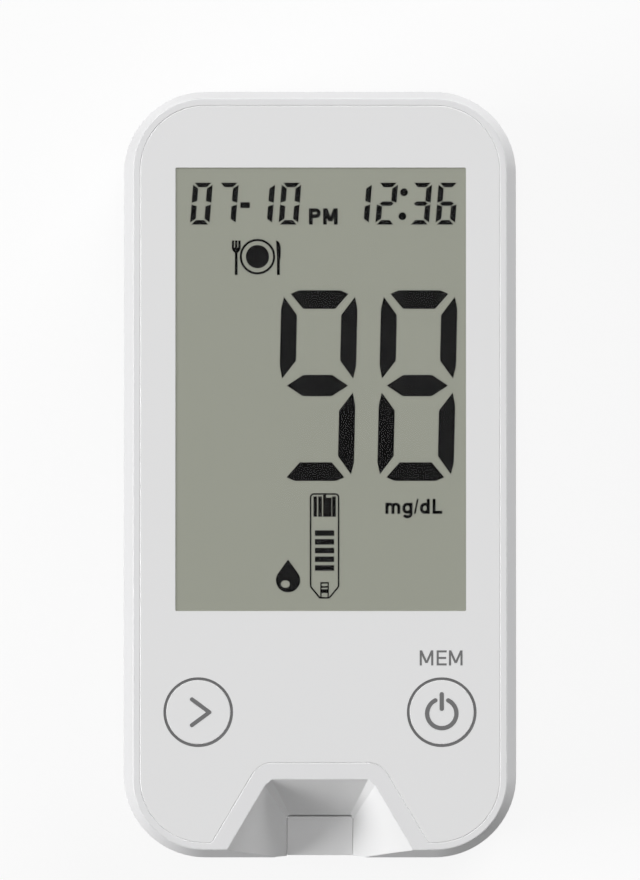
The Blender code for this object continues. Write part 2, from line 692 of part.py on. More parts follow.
def build_rear_cover():
    """The back of the case: well for the cells, bosses, posts and guide seat."""
    cover = add_part("rear_cover", case_mesh("rear_cover", 0, PARTING), "case_white")
    lip = plate_mesh("rear_lip", [case_outline(LIP_INSET)], PARTING - SINK, PARTING + LIP_HEIGHT)
    join(cover, "rear_lip", lip)
    cut(cover, "rear_hollow", case_mesh("rear_hollow", BACK_THICKNESS, PARTING, WALL))
    lip_hollow = plate_mesh(
        "lip_hollow", [case_outline(LIP_INSET + LIP_THICKNESS)],
        PARTING - SINK, PARTING + LIP_HEIGHT + OVERRUN,
    )
    cut(cover, "lip_hollow", lip_hollow)
    floor_inside = BACK_THICKNESS - SINK
    well_half = DOOR_HALF_WIDTH + SIDE_GAP + WELL_SIDE_WALL
    well_start = DOOR_START_Y - SIDE_GAP - WELL_END_WALL
    well_end = DOOR_END_Y + SIDE_GAP + SCOOP_LENGTH
    well = box_mesh("battery_well", (
        (-well_half, well_start, floor_inside), (well_half, well_end, WELL_TOP)
    ))
    join(cover, "battery_well", well)
    bosses = cylinder_mesh("rear_bosses", SCREW_PLACES, REAR_BOSS_RADIUS, floor_inside, REAR_BOSS_TOP)
    join(cover, "rear_bosses", bosses)
    post_x = HALF_WIDTH - POST_TO_SIDE
    post_places = [(x, y) for x in (-post_x, post_x) for y in (-POST_Y, POST_Y)]
    posts = cylinder_mesh("board_posts", post_places, POST_RADIUS, floor_inside, BOARD_BOTTOM - GAP)
    join(cover, "board_posts", posts)
    pedestal_half = GUIDE_HALF_WIDTH - PEDESTAL_INSET
    pedestal_start = case_inset(floor_inside) + WALL / 2 - HALF_LENGTH
    pedestal = box_mesh("guide_pedestal", (
        (-pedestal_half, pedestal_start, floor_inside),
        (pedestal_half, FUNNEL_BACK_Y + FUNNEL_WALL / 2, BLOCK_BOTTOM - GAP),
    ))
    join(cover, "guide_pedestal", pedestal)
    cut(cover, "port_notch", funnel_mesh(
        "port_notch", BLOCK_BOTTOM - GAP, PARTING + LIP_HEIGHT + OVERRUN, FUNNEL_WALL + GAP
    ))
    recess = plate_mesh("door_recess", [rectangle(
        DOOR_HALF_WIDTH + SIDE_GAP, DOOR_START_Y - SIDE_GAP, DOOR_END_Y + SIDE_GAP,
        DOOR_CORNER + SIDE_GAP,
    )], -OVERRUN, RECESS_TOP)
    cut(cover, "door_recess", recess)
    cell_places = [(0, y) for y in CELL_PLACES]
    pockets = cylinder_mesh(
        "cell_pockets", cell_places, POCKET_RADIUS, RECESS_TOP - SINK, POCKET_TOP, FINE_STEPS
    )
    cut(cover, "cell_pockets", pockets)
    slots = box_mesh("hook_slots", *hook_boxes(
        SIDE_GAP, well_start - OVERRUN, LOWER_CELL_Y - CELL_RADIUS / 2,
        HOOK_BOTTOM - GAP, HOOK_TOP + 2 * GAP,
    ))
    cut(cover, "hook_slots", slots)
    cut(cover, "contact_slots", contact_slots_mesh())
    scoop = lying_cylinder_mesh(
        "finger_scoop", FINGER_RADIUS, FINGER_HALF_WIDTH,
        DOOR_END_Y + SIDE_GAP, FINGER_DEPTH - FINGER_RADIUS,
    )
    cut(cover, "finger_scoop", scoop)
    label = plate_mesh("label_recess", [rectangle(
        LABEL_HALF_WIDTH, LABEL_TO_END - HALF_LENGTH, DOOR_START_Y - LABEL_TO_DOOR, LABEL_CORNER
    )], -OVERRUN, LABEL_DEPTH)
    cut(cover, "label_recess", label)
    sound_places = [
        (i * SOUND_HOLE_PITCH, DOOR_START_Y - SOUND_HOLES_TO_DOOR) for i in (-1, 0, 1)
    ]
    sound_holes = cylinder_mesh(
        "sound_holes", sound_places, SOUND_HOLE_RADIUS, -OVERRUN, BACK_THICKNESS + OVERRUN
    )
    cut(cover, "sound_holes", sound_holes)
    counterbores = cylinder_mesh(
        "counterbores", SCREW_PLACES, SCREW_HEAD_RADIUS + COUNTERBORE_GAP, -OVERRUN, SCREW_SEAT,
        ROUND_STEPS,
    )
    cut(cover, "counterbores", counterbores)
    shank_holes = cylinder_mesh(
        "rear_screw_holes", SCREW_PLACES, SCREW_SHANK_RADIUS + SHANK_HOLE_GAP,
        SCREW_SEAT - SINK, REAR_BOSS_TOP + OVERRUN,
    )
    cut(cover, "rear_screw_holes", shank_holes)


def contact_slots_mesh():
    """Slots beside and over each cell, through which the contacts reach the board."""
    boxes = []
    for y in CELL_PLACES:
        leg_y = y + LEAF_HALF_LENGTH
        boxes.append((
            (-LEAF_HALF_WIDTH - GAP, leg_y - GAP - CONTACT_THICKNESS, POCKET_TOP - SINK),
            (LEAF_HALF_WIDTH + GAP, leg_y + GAP + CONTACT_THICKNESS, WELL_TOP + OVERRUN),
        ))
        blade_half = BLADE_HALF_WIDTH + GAP
        boxes.append((
            (CELL_RADIUS - OVERRUN, y - blade_half, RECESS_TOP - SINK),
            (POCKET_RADIUS + BLADE_ROOM, y + blade_half, WELL_TOP + OVERRUN),
        ))
    return box_mesh("contact_slots", *boxes)


# Battery door's own sizes
DOOR_EDGE = 0.00025
PAD_RADIUS = 0.008
GRIP_COUNT = 4
GRIP_PITCH = 0.0013
GRIP_WIDTH = 0.0006
GRIP_DEPTH = 0.0003
GRIP_HALF_LENGTH = 0.0055
GRIP_TO_END = 0.0035


def build_battery_door():
    """The door over the cells, with its origin on the hinge line of its hooks."""
    outline = rectangle(DOOR_HALF_WIDTH, DOOR_START_Y, DOOR_END_Y, DOOR_CORNER)
    mesh = plate_mesh("battery_door", [outline], DOOR_SET_BACK, DOOR_TOP)
    door = add_part("battery_door", mesh, "case_white")
    bevel(door, DOOR_EDGE, 2)
    pads = cylinder_mesh(
        "door_pads", [(0, y) for y in CELL_PLACES], PAD_RADIUS,
        DOOR_TOP - SINK, DOOR_TOP + DOOR_PAD_HEIGHT, ROUND_STEPS,
    )
    riser_y = DOOR_START_Y + HOOK_RISER_OFFSET
    risers = box_mesh("hook_risers", *hook_boxes(
        0, riser_y, riser_y + HOOK_RISER_LENGTH, DOOR_TOP - SINK, HOOK_TOP
    ))
    tongue_end = riser_y + HOOK_RISER_LENGTH / 2
    tongues = box_mesh("hook_tongues", *hook_boxes(
        -HOOK_STEP, HOOK_TIP_Y, tongue_end, HOOK_BOTTOM, HOOK_TOP - HOOK_STEP
    ))
    first_y = DOOR_END_Y - GRIP_TO_END
    grips = box_mesh("grip_grooves", *[
        ((-GRIP_HALF_LENGTH, first_y - i * GRIP_PITCH - GRIP_WIDTH, -OVERRUN),
         (GRIP_HALF_LENGTH, first_y - i * GRIP_PITCH, DOOR_SET_BACK + GRIP_DEPTH))
        for i in range(GRIP_COUNT)
    ])
    pivot = (0, HINGE_Y, 0)
    set_origin(door, pivot)
    join(door, "door_pads", pads)
    join(door, "hook_risers", risers)
    join(door, "hook_tongues", tongues)
    cut(door, "grip_grooves", grips)


# Coin cell's own sizes
CELL_CAP_HEIGHT = 0.0004
CELL_CAP_INSET = 0.0012
CELL_EDGE = 0.0002


def build_coin_cells():
    """Two coin cells, each a wide can with a smaller cap towards the board."""
    for number, y in enumerate(CELL_PLACES, start=1):
        can_top = CELL_TOP - CELL_CAP_HEIGHT
        profile = (
            (0, CELL_TOP), (CELL_RADIUS - CELL_CAP_INSET, CELL_TOP),
            (CELL_RADIUS - CELL_CAP_INSET, can_top), (CELL_RADIUS - CELL_EDGE, can_top),
            (CELL_RADIUS, can_top - CELL_EDGE), (CELL_RADIUS, CELL_BOTTOM + CELL_EDGE),
            (CELL_RADIUS - CELL_EDGE, CELL_BOTTOM), (0, CELL_BOTTOM),
        )
        turned(f"coin_cell_{number}", profile, (0, y), "nickel", FINE_STEPS)


def build_battery_contacts():
    """A blade at the side of each cell and a leaf over it, both reaching the board."""
    half = CONTACT_THICKNESS / 2
    near = CELL_RADIUS + GAP + half
    for number, y in enumerate(CELL_PLACES, start=1):
        blade_path = (
            (near + BLADE_SPRING, CELL_BOTTOM + GAP), (near, CELL_BOTTOM + CELL_THICKNESS / 2),
            (near + BLADE_SPRING, CELL_TOP), (near + BLADE_SPRING, CONTACT_TOP),
        )
        blade = strip_mesh(
            "positive_contact", blade_path, CONTACT_THICKNESS,
            -BLADE_HALF_WIDTH - y, BLADE_HALF_WIDTH - y, across_x=False,
        )
        add_part(f"positive_contact_{number}", blade, "nickel")
        leaf_path = (
            (y + LEAF_HALF_LENGTH, CONTACT_TOP),
            (y + LEAF_HALF_LENGTH, POCKET_TOP - SIDE_GAP - half),
            (y - LEAF_HALF_LENGTH, LEAF_BOTTOM + half),
        )
        leaf = strip_mesh(
            "negative_contact", leaf_path, CONTACT_THICKNESS,
            -LEAF_HALF_WIDTH, LEAF_HALF_WIDTH, across_x=True,
        )
        add_part(f"negative_contact_{number}", leaf, "nickel")


# Cross recess of the case screws
CROSS_HALF_LENGTH = 0.0009
CROSS_HALF_WIDTH = 0.00022
CROSS_DEPTH = 0.0006


def build_case_screws():
    """Four screws with cross recesses, driven from the back."""
    head_top = SCREW_SET_BACK + SCREW_HEAD_HEIGHT
    for number, place in enumerate(SCREW_PLACES, start=1):
        profile = (
            (0, SCREW_TIP), (SCREW_SHANK_RADIUS / 2, SCREW_TIP),
            (SCREW_SHANK_RADIUS, SCREW_TIP - SCREW_SHANK_RADIUS), (SCREW_SHANK_RADIUS, head_top),
            (SCREW_HEAD_RADIUS, head_top), (SCREW_HEAD_RADIUS, SCREW_SET_BACK), (0, SCREW_SET_BACK),
        )
        name = f"case_screw_{number}"
        screw = turned(name, profile, place, "steel", SMALL_STEPS)
        x, y = place
        bottom = SCREW_SET_BACK - OVERRUN
        for turn, (half_x, half_y) in (
            ("long", (CROSS_HALF_LENGTH, CROSS_HALF_WIDTH)),
            ("across", (CROSS_HALF_WIDTH, CROSS_HALF_LENGTH)),
        ):
            slot = box_mesh(f"{name}_{turn}_slot", (
                (x - half_x, y - half_y, bottom),
                (x + half_x, y + half_y, SCREW_SET_BACK + CROSS_DEPTH),
            ))
            cut(screw, f"{name}_{turn}_slot", slot)


# Main board's own sizes
TONGUE_HALF_WIDTH = 0.0065
TONGUE_SET_BACK = 0.0003


def build_main_board():
    """The circuit board, with a tongue under the strip connector."""
    tongue_y = CONNECTOR_START_Y + TONGUE_SET_BACK
    corners = (
        (-BOARD_HALF_WIDTH, BOARD_PORT_Y), (-TONGUE_HALF_WIDTH, BOARD_PORT_Y),
        (-TONGUE_HALF_WIDTH, tongue_y), (TONGUE_HALF_WIDTH, tongue_y),
        (TONGUE_HALF_WIDTH, BOARD_PORT_Y), (BOARD_HALF_WIDTH, BOARD_PORT_Y),
        (BOARD_HALF_WIDTH, BOARD_TOP_Y), (-BOARD_HALF_WIDTH, BOARD_TOP_Y),
    )
    radii = (BOARD_CORNER, 0, 0, 0, 0, BOARD_CORNER, BOARD_CORNER, BOARD_CORNER)
    outline = rounded(corners, radii, FILLET_STEPS)
    add_part("main_board", plate_mesh("main_board", [outline], BOARD_BOTTOM, BOARD_TOP), "board_green")


# Chips and the crystal on the board
CHIP_EDGE = 0.0001
CONTROLLER_SIZE = 0.01
CONTROLLER_HEIGHT = 0.0014
CONTROLLER_Y = 0.014
MEMORY_LENGTH = 0.005
MEMORY_WIDTH = 0.004
MEMORY_HEIGHT = 0.0015
MEMORY_X = -0.011
MEMORY_Y = 0.002
MEASURING_LENGTH = 0.0036
MEASURING_WIDTH = 0.006
MEASURING_HEIGHT = 0.0015
MEASURING_TO_GLASS_END = 0.0012
CRYSTAL_RADIUS = 0.001
CRYSTAL_LENGTH = 0.0062
CRYSTAL_X = 0.009
CRYSTAL_Y = 0.004


def build_chip(name, x, y, width, length, height):
    """One black package lying on the board."""
    mesh = box_mesh(name, (
        (x - width / 2, y - length / 2, ON_BOARD),
        (x + width / 2, y + length / 2, ON_BOARD + height),
    ))
    bevel(add_part(name, mesh, "chip_black"), CHIP_EDGE)


def build_chips():
    """Controller, memory and measuring chips, and the clock crystal."""
    build_chip("controller_chip", 0, CONTROLLER_Y, CONTROLLER_SIZE, CONTROLLER_SIZE, CONTROLLER_HEIGHT)
    build_chip("memory_chip", MEMORY_X, MEMORY_Y, MEMORY_WIDTH, MEMORY_LENGTH, MEMORY_HEIGHT)
    measuring_y = GLASS_BOTTOM_Y + MEASURING_TO_GLASS_END + MEASURING_LENGTH / 2
    build_chip(
        "measuring_chip", 0, measuring_y, MEASURING_WIDTH, MEASURING_LENGTH, MEASURING_HEIGHT
    )
    tool = bmesh.new()
    place = Matrix.Translation((CRYSTAL_X, CRYSTAL_Y, ON_BOARD + CRYSTAL_RADIUS))
    bmesh.ops.create_cone(
        tool, cap_ends=True, segments=SMALL_STEPS, radius1=CRYSTAL_RADIUS, radius2=CRYSTAL_RADIUS,
        depth=CRYSTAL_LENGTH, matrix=place @ Matrix.Rotation(math.pi / 2, 4, "X"),
    )
    crystal = add_part("clock_crystal", finished_mesh("clock_crystal", tool), "steel")
    bevel(crystal, CHIP_EDGE)


# Buzzer under the board
BUZZER_RADIUS = 0.005
BUZZER_HEIGHT = 0.0024
BUZZER_NECK_RADIUS = 0.001
BUZZER_NECK_DEPTH = 0.0008
BUZZER_TO_SOUND_HOLES = 0.0033


def build_buzzer():
    """A round buzzer below the board, with its sound opening towards the back."""
    top = BOARD_BOTTOM - GAP
    bottom = top - BUZZER_HEIGHT
    profile = (
        (0, top), (BUZZER_RADIUS, top), (BUZZER_RADIUS, bottom), (BUZZER_NECK_RADIUS, bottom),
        (BUZZER_NECK_RADIUS, bottom + BUZZER_NECK_DEPTH), (0, bottom + BUZZER_NECK_DEPTH),
    )
    y = DOOR_START_Y - SOUND_HOLES_TO_DOOR - BUZZER_TO_SOUND_HOLES
    turned("buzzer", profile, (0, y), "chip_black")


# Strip connector's own sizes
SLOT_HEIGHT = 0.001
SLOT_SIDE_WALL = 0.00145
SLOT_END_WALL = 0.001
CONNECTOR_ROOF_LEFT = 0.0003
CONTACT_COUNT = 5
CONTACT_PITCH = 0.0013
CONTACT_WIDTH = 0.0006
GROOVE_SIDE_GAP = 0.00015
GROOVE_START = 0.0015
SPRING_TAIL = 0.0012
SPRING_RISE_OFFSET = 0.0004
SPRING_THICKNESS = 0.00018
SPRING_TOP_GAP = 0.0002
SPRING_DIP = 0.0006
SPRING_DIP_AT = 0.0034
SPRING_TIP_LENGTH = 0.001


def contact_x(number):
    """Place of a strip contact across the connector."""
    return (number - (CONTACT_COUNT + 1) / 2) * CONTACT_PITCH


def build_strip_connector():
    """The housing that a test strip is pushed into, with a groove for each spring."""
    top = ON_BOARD + CONNECTOR_HEIGHT
    body = box_mesh("strip_connector", (
        (-CONNECTOR_HALF_WIDTH, CONNECTOR_START_Y, ON_BOARD),
        (CONNECTOR_HALF_WIDTH, CONNECTOR_END_Y, top),
    ))
    connector = add_part("strip_connector", body, "connector_black")
    slot_half = CONNECTOR_HALF_WIDTH - SLOT_SIDE_WALL
    slot = box_mesh("connector_slot", (
        (-slot_half, CONNECTOR_START_Y - OVERRUN, PORT_FLOOR),
        (slot_half, CONNECTOR_END_Y - SLOT_END_WALL, PORT_FLOOR + SLOT_HEIGHT),
    ))
    cut(connector, "connector_slot", slot)
    half = CONTACT_WIDTH / 2 + GROOVE_SIDE_GAP
    grooves = box_mesh("contact_grooves", *[
        ((contact_x(i) - half, CONNECTOR_START_Y + GROOVE_START, PORT_FLOOR + SLOT_HEIGHT / 2),
         (contact_x(i) + half, CONNECTOR_END_Y + OVERRUN, top - CONNECTOR_ROOF_LEFT))
        for i in range(1, CONTACT_COUNT + 1)
    ])
    cut(connector, "contact_grooves", grooves)


def build_strip_contacts():
    """Springs from the board, over the housing's end wall and down into its slot."""
    half = SPRING_THICKNESS / 2
    foot = ON_BOARD + half
    rise_y = CONNECTOR_END_Y + SPRING_RISE_OFFSET
    arm = ON_BOARD + CONNECTOR_HEIGHT - CONNECTOR_ROOF_LEFT - SPRING_TOP_GAP - half
    dip_y = CONNECTOR_START_Y + SPRING_DIP_AT
    dip = PORT_FLOOR + SPRING_DIP
    path = (
        (CONNECTOR_END_Y + SPRING_TAIL, foot), (rise_y, foot), (rise_y, arm),
        (CONNECTOR_END_Y - SLOT_END_WALL, arm), (dip_y, dip),
        (dip_y - SPRING_TIP_LENGTH, dip + SPRING_DIP / 2),
    )
    for number in range(1, CONTACT_COUNT + 1):
        x = contact_x(number)
        mesh = strip_mesh(
            "strip_contact", path, SPRING_THICKNESS,
            x - CONTACT_WIDTH / 2, x + CONTACT_WIDTH / 2, across_x=True,
        )
        add_part(f"strip_contact_{number}", mesh, "gold")


# Strip guide's edge, and how far it drops where it runs in under the slot's roof
GUIDE_EDGE = 0.0001
GUIDE_RELIEF = 0.00015


def build_strip_guide():
    """The grey floor of the port, on which a strip slides into the connector."""
    start_y = GUIDE_END_INSET - HALF_LENGTH
    mesh = box_mesh("strip_guide", (
        (-GUIDE_HALF_WIDTH, start_y, BLOCK_BOTTOM), (GUIDE_HALF_WIDTH, GUIDE_BACK_Y, PORT_FLOOR),
    ))
    guide = add_part("strip_guide", mesh, "guide_grey")
    bevel(guide, GUIDE_EDGE)
    relief = box_mesh("guide_relief", (
        (-GUIDE_HALF_WIDTH - OVERRUN, SLOT_START_Y, PORT_FLOOR - GUIDE_RELIEF),
        (GUIDE_HALF_WIDTH + OVERRUN, GUIDE_BACK_Y + OVERRUN, PORT_FLOOR + OVERRUN),
    ))
    cut(guide, "guide_relief", relief)


# Keys' and domes' own sizes
KEY_EDGE = 0.0002
FLANGE_MARGIN = 0.0009
FLANGE_THICKNESS = 0.0007
STEM_RADIUS = 0.0016
DOME_CROWN_RADIUS = 0.0017
DOME_CROWN_HEIGHT = 0.0009
DOME_SKIRT = 0.0005
DOME_WALL = 0.0006


def build_keys():
    """Two round keys flush with the face, each on a stem over its dome."""
    flange_top = DECK_BOTTOM - GAP
    stem_bottom = DOME_TOP + GAP
    flange_radius = KEY_RADIUS + FLANGE_MARGIN
    profile = (
        (0, FACE), (KEY_RADIUS - KEY_EDGE, FACE), (KEY_RADIUS, FACE - KEY_EDGE),
        (KEY_RADIUS, flange_top), (flange_radius, flange_top),
        (flange_radius, flange_top - FLANGE_THICKNESS),
        (STEM_RADIUS, flange_top - FLANGE_THICKNESS), (STEM_RADIUS, stem_bottom), (0, stem_bottom),
    )
    for name, side in (("left_button", -1), ("right_button", 1)):
        turned(name, profile, (side * KEY_X, KEY_Y), "face_white", FINE_STEPS)


def build_domes():
    """The soft domes that spring the keys back, hollow from below."""
    crown_bottom = DOME_TOP - DOME_CROWN_HEIGHT
    hollow_top = crown_bottom - DOME_WALL / 2
    profile = (
        (0, DOME_TOP), (DOME_CROWN_RADIUS, DOME_TOP), (DOME_CROWN_RADIUS, crown_bottom),
        (DOME_RADIUS - DOME_WALL, ON_BOARD + DOME_SKIRT), (DOME_RADIUS, ON_BOARD + DOME_SKIRT),
        (DOME_RADIUS, ON_BOARD), (DOME_RADIUS - 2 * DOME_WALL, ON_BOARD),
        (DOME_CROWN_RADIUS - DOME_WALL, hollow_top), (0, hollow_top),
    )
    for name, side in (("left_dome", -1), ("right_dome", 1)):
        turned(name, profile, (side * KEY_X, KEY_Y), "rubber_grey")


# Display's own sizes
LENS_SIDE_GAP = 0.00015
SHELF_THICKNESS = 0.001
ZEBRA_WIDTH = 0.0012
ZEBRA_SIDE_INSET = 0.0026


def build_display():
    """Window lens, polarisers and the two sheets of the display glass."""
    lens = rectangle(
        WINDOW_WIDTH / 2 - LENS_SIDE_GAP, WINDOW_BOTTOM + LENS_SIDE_GAP,
        WINDOW_TOP - LENS_SIDE_GAP, WINDOW_CORNER,
    )
    add_part("display_lens", plate_mesh("display_lens", [lens], DECK_TOP + GAP, FACE), "clear")
    whole = rectangle(GLASS_HALF_WIDTH, GLASS_BOTTOM_Y, GLASS_TOP_Y)
    with_ledge = rectangle(GLASS_HALF_WIDTH, LEDGE_Y, GLASS_TOP_Y)
    layers = (
        ("front_polariser", whole, DECK_TOP, POLARISER_THICKNESS, "display_grey"),
        ("lcd_front_glass", with_ledge, FRONT_GLASS_TOP, GLASS_THICKNESS, "clear"),
        ("lcd_rear_glass", whole, REAR_GLASS_TOP, GLASS_THICKNESS, "clear"),
        ("rear_polariser", whole, REAR_POLARISER_TOP, POLARISER_THICKNESS, "display_grey"),
    )
    for name, outline, top, thickness, finish in layers:
        add_part(name, plate_mesh(name, [outline], top - thickness, top), finish)


def build_lcd_frame():
    """The frame that holds the glass over the board, with a slot for the strip."""
    shelf_top = REAR_POLARISER_TOP - POLARISER_THICKNESS - GAP
    shelf_bottom = shelf_top - SHELF_THICKNESS
    frame_top = DECK_BOTTOM - GAP
    inner_half = GLASS_HALF_WIDTH + GAP
    inner_low = LEDGE_Y - GAP
    inner_high = GLASS_TOP_Y + GAP
    body = box_mesh("lcd_frame", (
        (-inner_half - FRAME_WALL, inner_low - FRAME_WALL, ON_BOARD),
        (inner_half + FRAME_WALL, inner_high + FRAME_WALL, frame_top),
    ))
    frame = add_part("lcd_frame", body, "frame_white")
    hollows = box_mesh(
        "lcd_frame_hollows",
        ((-inner_half, inner_low, ON_BOARD - OVERRUN), (inner_half, inner_high, shelf_bottom)),
        ((-inner_half, inner_low, shelf_top), (inner_half, inner_high, frame_top + OVERRUN)),
    )
    cut(frame, "lcd_frame_hollows", hollows)
    zebra_half = GLASS_HALF_WIDTH - ZEBRA_SIDE_INSET
    low_y = (LEDGE_Y + GLASS_BOTTOM_Y - ZEBRA_WIDTH) / 2
    high_y = low_y + ZEBRA_WIDTH
    slot = box_mesh("zebra_slot", (
        (-zebra_half - GAP, low_y - GAP, shelf_bottom - OVERRUN),
        (zebra_half + GAP, high_y + GAP, shelf_top + OVERRUN),
    ))
    cut(frame, "zebra_slot", slot)
    zebra = box_mesh("zebra_strip", (
        (-zebra_half, low_y, ON_BOARD), (zebra_half, high_y, FRONT_GLASS_TOP - GLASS_THICKNESS - GAP),
    ))
    add_part("zebra_strip", zebra, "rubber_grey")


build_front_cover()
build_faceplate()
build_display()
build_lcd_frame()
build_keys()
build_domes()
build_main_board()
build_chips()
build_buzzer()
build_strip_connector()
build_strip_contacts()
build_strip_guide()
build_rear_cover()
build_battery_door()
build_coin_cells()
build_battery_contacts()
build_case_screws()
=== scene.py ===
"""Visible surfaces of a hand-held blood glucose meter, built round its solid parts.

Lengths are in metres. X runs across the meter, Y from the strip port to the top end,
and Z from the back out of the face. The meter lies on its back on a pale floor.
"""
import math
from collections import namedtuple

import bmesh
import bpy
import numpy as np
from bpy.props import FloatProperty, FloatVectorProperty, PointerProperty
from bpy.types import Operator, Panel, PropertyGroup
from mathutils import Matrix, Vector
from mathutils.geometry import delaunay_2d_cdt


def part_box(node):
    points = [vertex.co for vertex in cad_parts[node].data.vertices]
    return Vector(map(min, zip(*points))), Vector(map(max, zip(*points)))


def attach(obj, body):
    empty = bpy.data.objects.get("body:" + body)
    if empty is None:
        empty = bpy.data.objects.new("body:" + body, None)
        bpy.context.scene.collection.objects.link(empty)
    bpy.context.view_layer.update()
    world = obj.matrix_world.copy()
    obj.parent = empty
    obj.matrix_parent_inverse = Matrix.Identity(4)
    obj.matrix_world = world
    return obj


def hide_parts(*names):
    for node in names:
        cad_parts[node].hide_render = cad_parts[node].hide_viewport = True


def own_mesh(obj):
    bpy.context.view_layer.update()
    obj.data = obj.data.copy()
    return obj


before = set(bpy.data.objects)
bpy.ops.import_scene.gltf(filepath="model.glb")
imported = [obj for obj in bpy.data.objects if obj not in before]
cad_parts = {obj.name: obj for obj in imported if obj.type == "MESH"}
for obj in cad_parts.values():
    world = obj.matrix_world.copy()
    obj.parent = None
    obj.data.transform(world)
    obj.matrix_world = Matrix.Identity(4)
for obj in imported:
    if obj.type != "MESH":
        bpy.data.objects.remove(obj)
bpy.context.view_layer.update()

bl_info = {
    "name": "Blood glucose meter",
    "version": (1, 0, 0),
    "blender": (4, 5, 0),
    "location": "View3D > Sidebar > Meter",
    "description": "Builds the visible surfaces of a blood glucose meter round its solid parts",
    "category": "Add Mesh",
}

MM = 0.001

# Places and sizes read from the solid parts
COVER_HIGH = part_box("front_cover")[1]
REAR_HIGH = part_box("rear_cover")[1]
PLATE_LOW, PLATE_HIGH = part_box("faceplate")
LENS_LOW, LENS_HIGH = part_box("display_lens")
FILM_LOW, FILM_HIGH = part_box("front_polariser")
GUIDE_LOW, GUIDE_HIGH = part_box("strip_guide")
DOOR_LOW, DOOR_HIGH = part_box("battery_door")
CONNECTOR_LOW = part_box("strip_connector")[0]
HALF_WIDTH = COVER_HIGH.x
HALF_LENGTH = COVER_HIGH.y
FACE = COVER_HIGH.z
PORT_FLOOR = GUIDE_HIGH.z
BLOCK_BOTTOM = GUIDE_LOW.z
DECK_TOP = FILM_HIGH.z
INK_HEIGHT = 0.02 * MM
FACE_TOP = FACE - INK_HEIGHT

# Clearances and small edges shared by the parts
GAP = 0.3 * MM
SIDE_GAP = 0.2 * MM
CLOSE_GAP = 0.15 * MM
MOULD_EDGE = 0.1 * MM

# How far a cutter overruns the face that it opens, and joined forms sink into each other
OVERRUN = 1 * MM
SINK = 0.4 * MM

# A bare parting of two surfaces, and the distances at which points count as one
HAIR = 0.01 * MM
MERGE = 0.001 * MM
SAME_POINT = HAIR / 100

# Walls and edges of the two covers
CORNER_RADIUS = 9.6 * MM
WALL = 1.6 * MM
BACK_THICKNESS = 1.5 * MM
BACK_EDGE_RADIUS = 3.5 * MM
REAR_LEAN = 0.4 * MM
RIM_INSET = 1.24 * MM
DECK_THICKNESS = 1.3 * MM
LIP_HEIGHT = 1.2 * MM
LIP_INSET = 0.9 * MM
LIP_THICKNESS = 0.7 * MM
REBATE_INSET = 0.7 * MM
PARTING = REAR_HIGH.z - LIP_HEIGHT
FRONT_BOTTOM = PARTING + GAP
DECK_BOTTOM = DECK_TOP - DECK_THICKNESS

# Strip port, a funnel that opens to the face and to the end of the case
PORT_DEPTH = FACE - PORT_FLOOR
FLOOR_LENGTH = 4.65 * MM
FLOOR_CHAMFER = (0.45 * MM, 0.3 * MM)
MOUTH_LENGTH = 9.5 * MM
MOUTH_CORNER_X = 6.4 * MM
MOUTH_CHAMFER = (0.8 * MM, 0.7 * MM)
MOUTH_FLARE_SHARE = 0.593
FUNNEL_WALL = 1.3 * MM
FUNNEL_CORNER = 0.12 * MM
SLOT_ABOVE_FLOOR = 0.45 * MM
BLOCK_INSET = 0.05 * MM
GUIDE_RELIEF = 0.5 * MM
GUIDE_STEP_Y = -40.3 * MM
GUIDE_END_Y = 0.12 * MM - HALF_LENGTH
GUIDE_EDGE = 0.06 * MM
GUIDE_SIDE_GAP = 4 * HAIR
FLOOR_CORNER_X = GUIDE_HIGH.x + SIDE_GAP
FUNNEL_BACK_Y = FLOOR_LENGTH - HALF_LENGTH

# Faceplate: its notch round the port, and its window
NOTCH_MARGIN = 1.9 * MM
NOTCH_RADIUS = 2.8 * MM
NOTCH_TOE_RADIUS = 0.5 * MM
WINDOW_CORNER = 0.15 * MM
WINDOW_SHIFT = 0.08 * MM
WINDOW_RAISE = 0.1 * MM

# Zones with a finish of their own; the port zone's lighter colour is painted light that brightens the deep
# port
LAND_DEPTH = 0.07 * MM
LAND_ROUGHNESS = 0.36
FACE_ROUGHNESS = 0.26
PORT_ZONE_HALF = 12.5 * MM
PORT_ZONE_INSET = 0.07 * MM
PORT_ZONE_TOP = -35.3 * MM

# Keys
RIGHT_KEY_LOW, RIGHT_KEY_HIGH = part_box("right_button")
DOME_LOW, DOME_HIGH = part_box("right_dome")
DOME_RADIUS = (DOME_HIGH.x - DOME_LOW.x) / 2
DOME_CROWN_RADIUS = 1.7 * MM
DOME_CROWN_HEIGHT = 0.9 * MM
DOME_SKIRT = 0.5 * MM
DOME_WALL = 0.6 * MM
DOME_EDGE = 0.2 * MM
KEY_X = (RIGHT_KEY_LOW.x + RIGHT_KEY_HIGH.x) / 2
KEY_Y = (RIGHT_KEY_LOW.y + RIGHT_KEY_HIGH.y) / 2
KEY_PLACES = {"left": (-KEY_X, KEY_Y), "right": (KEY_X, KEY_Y)}
KEY_HOLE_RADIUS = 4.05 * MM
DECK_HOLE_RADIUS = 4.3 * MM
FLANGE_RADIUS = (RIGHT_KEY_HIGH.x - RIGHT_KEY_LOW.x) / 2
FLANGE_THICKNESS = 0.7 * MM
STEM_RADIUS = 1.6 * MM

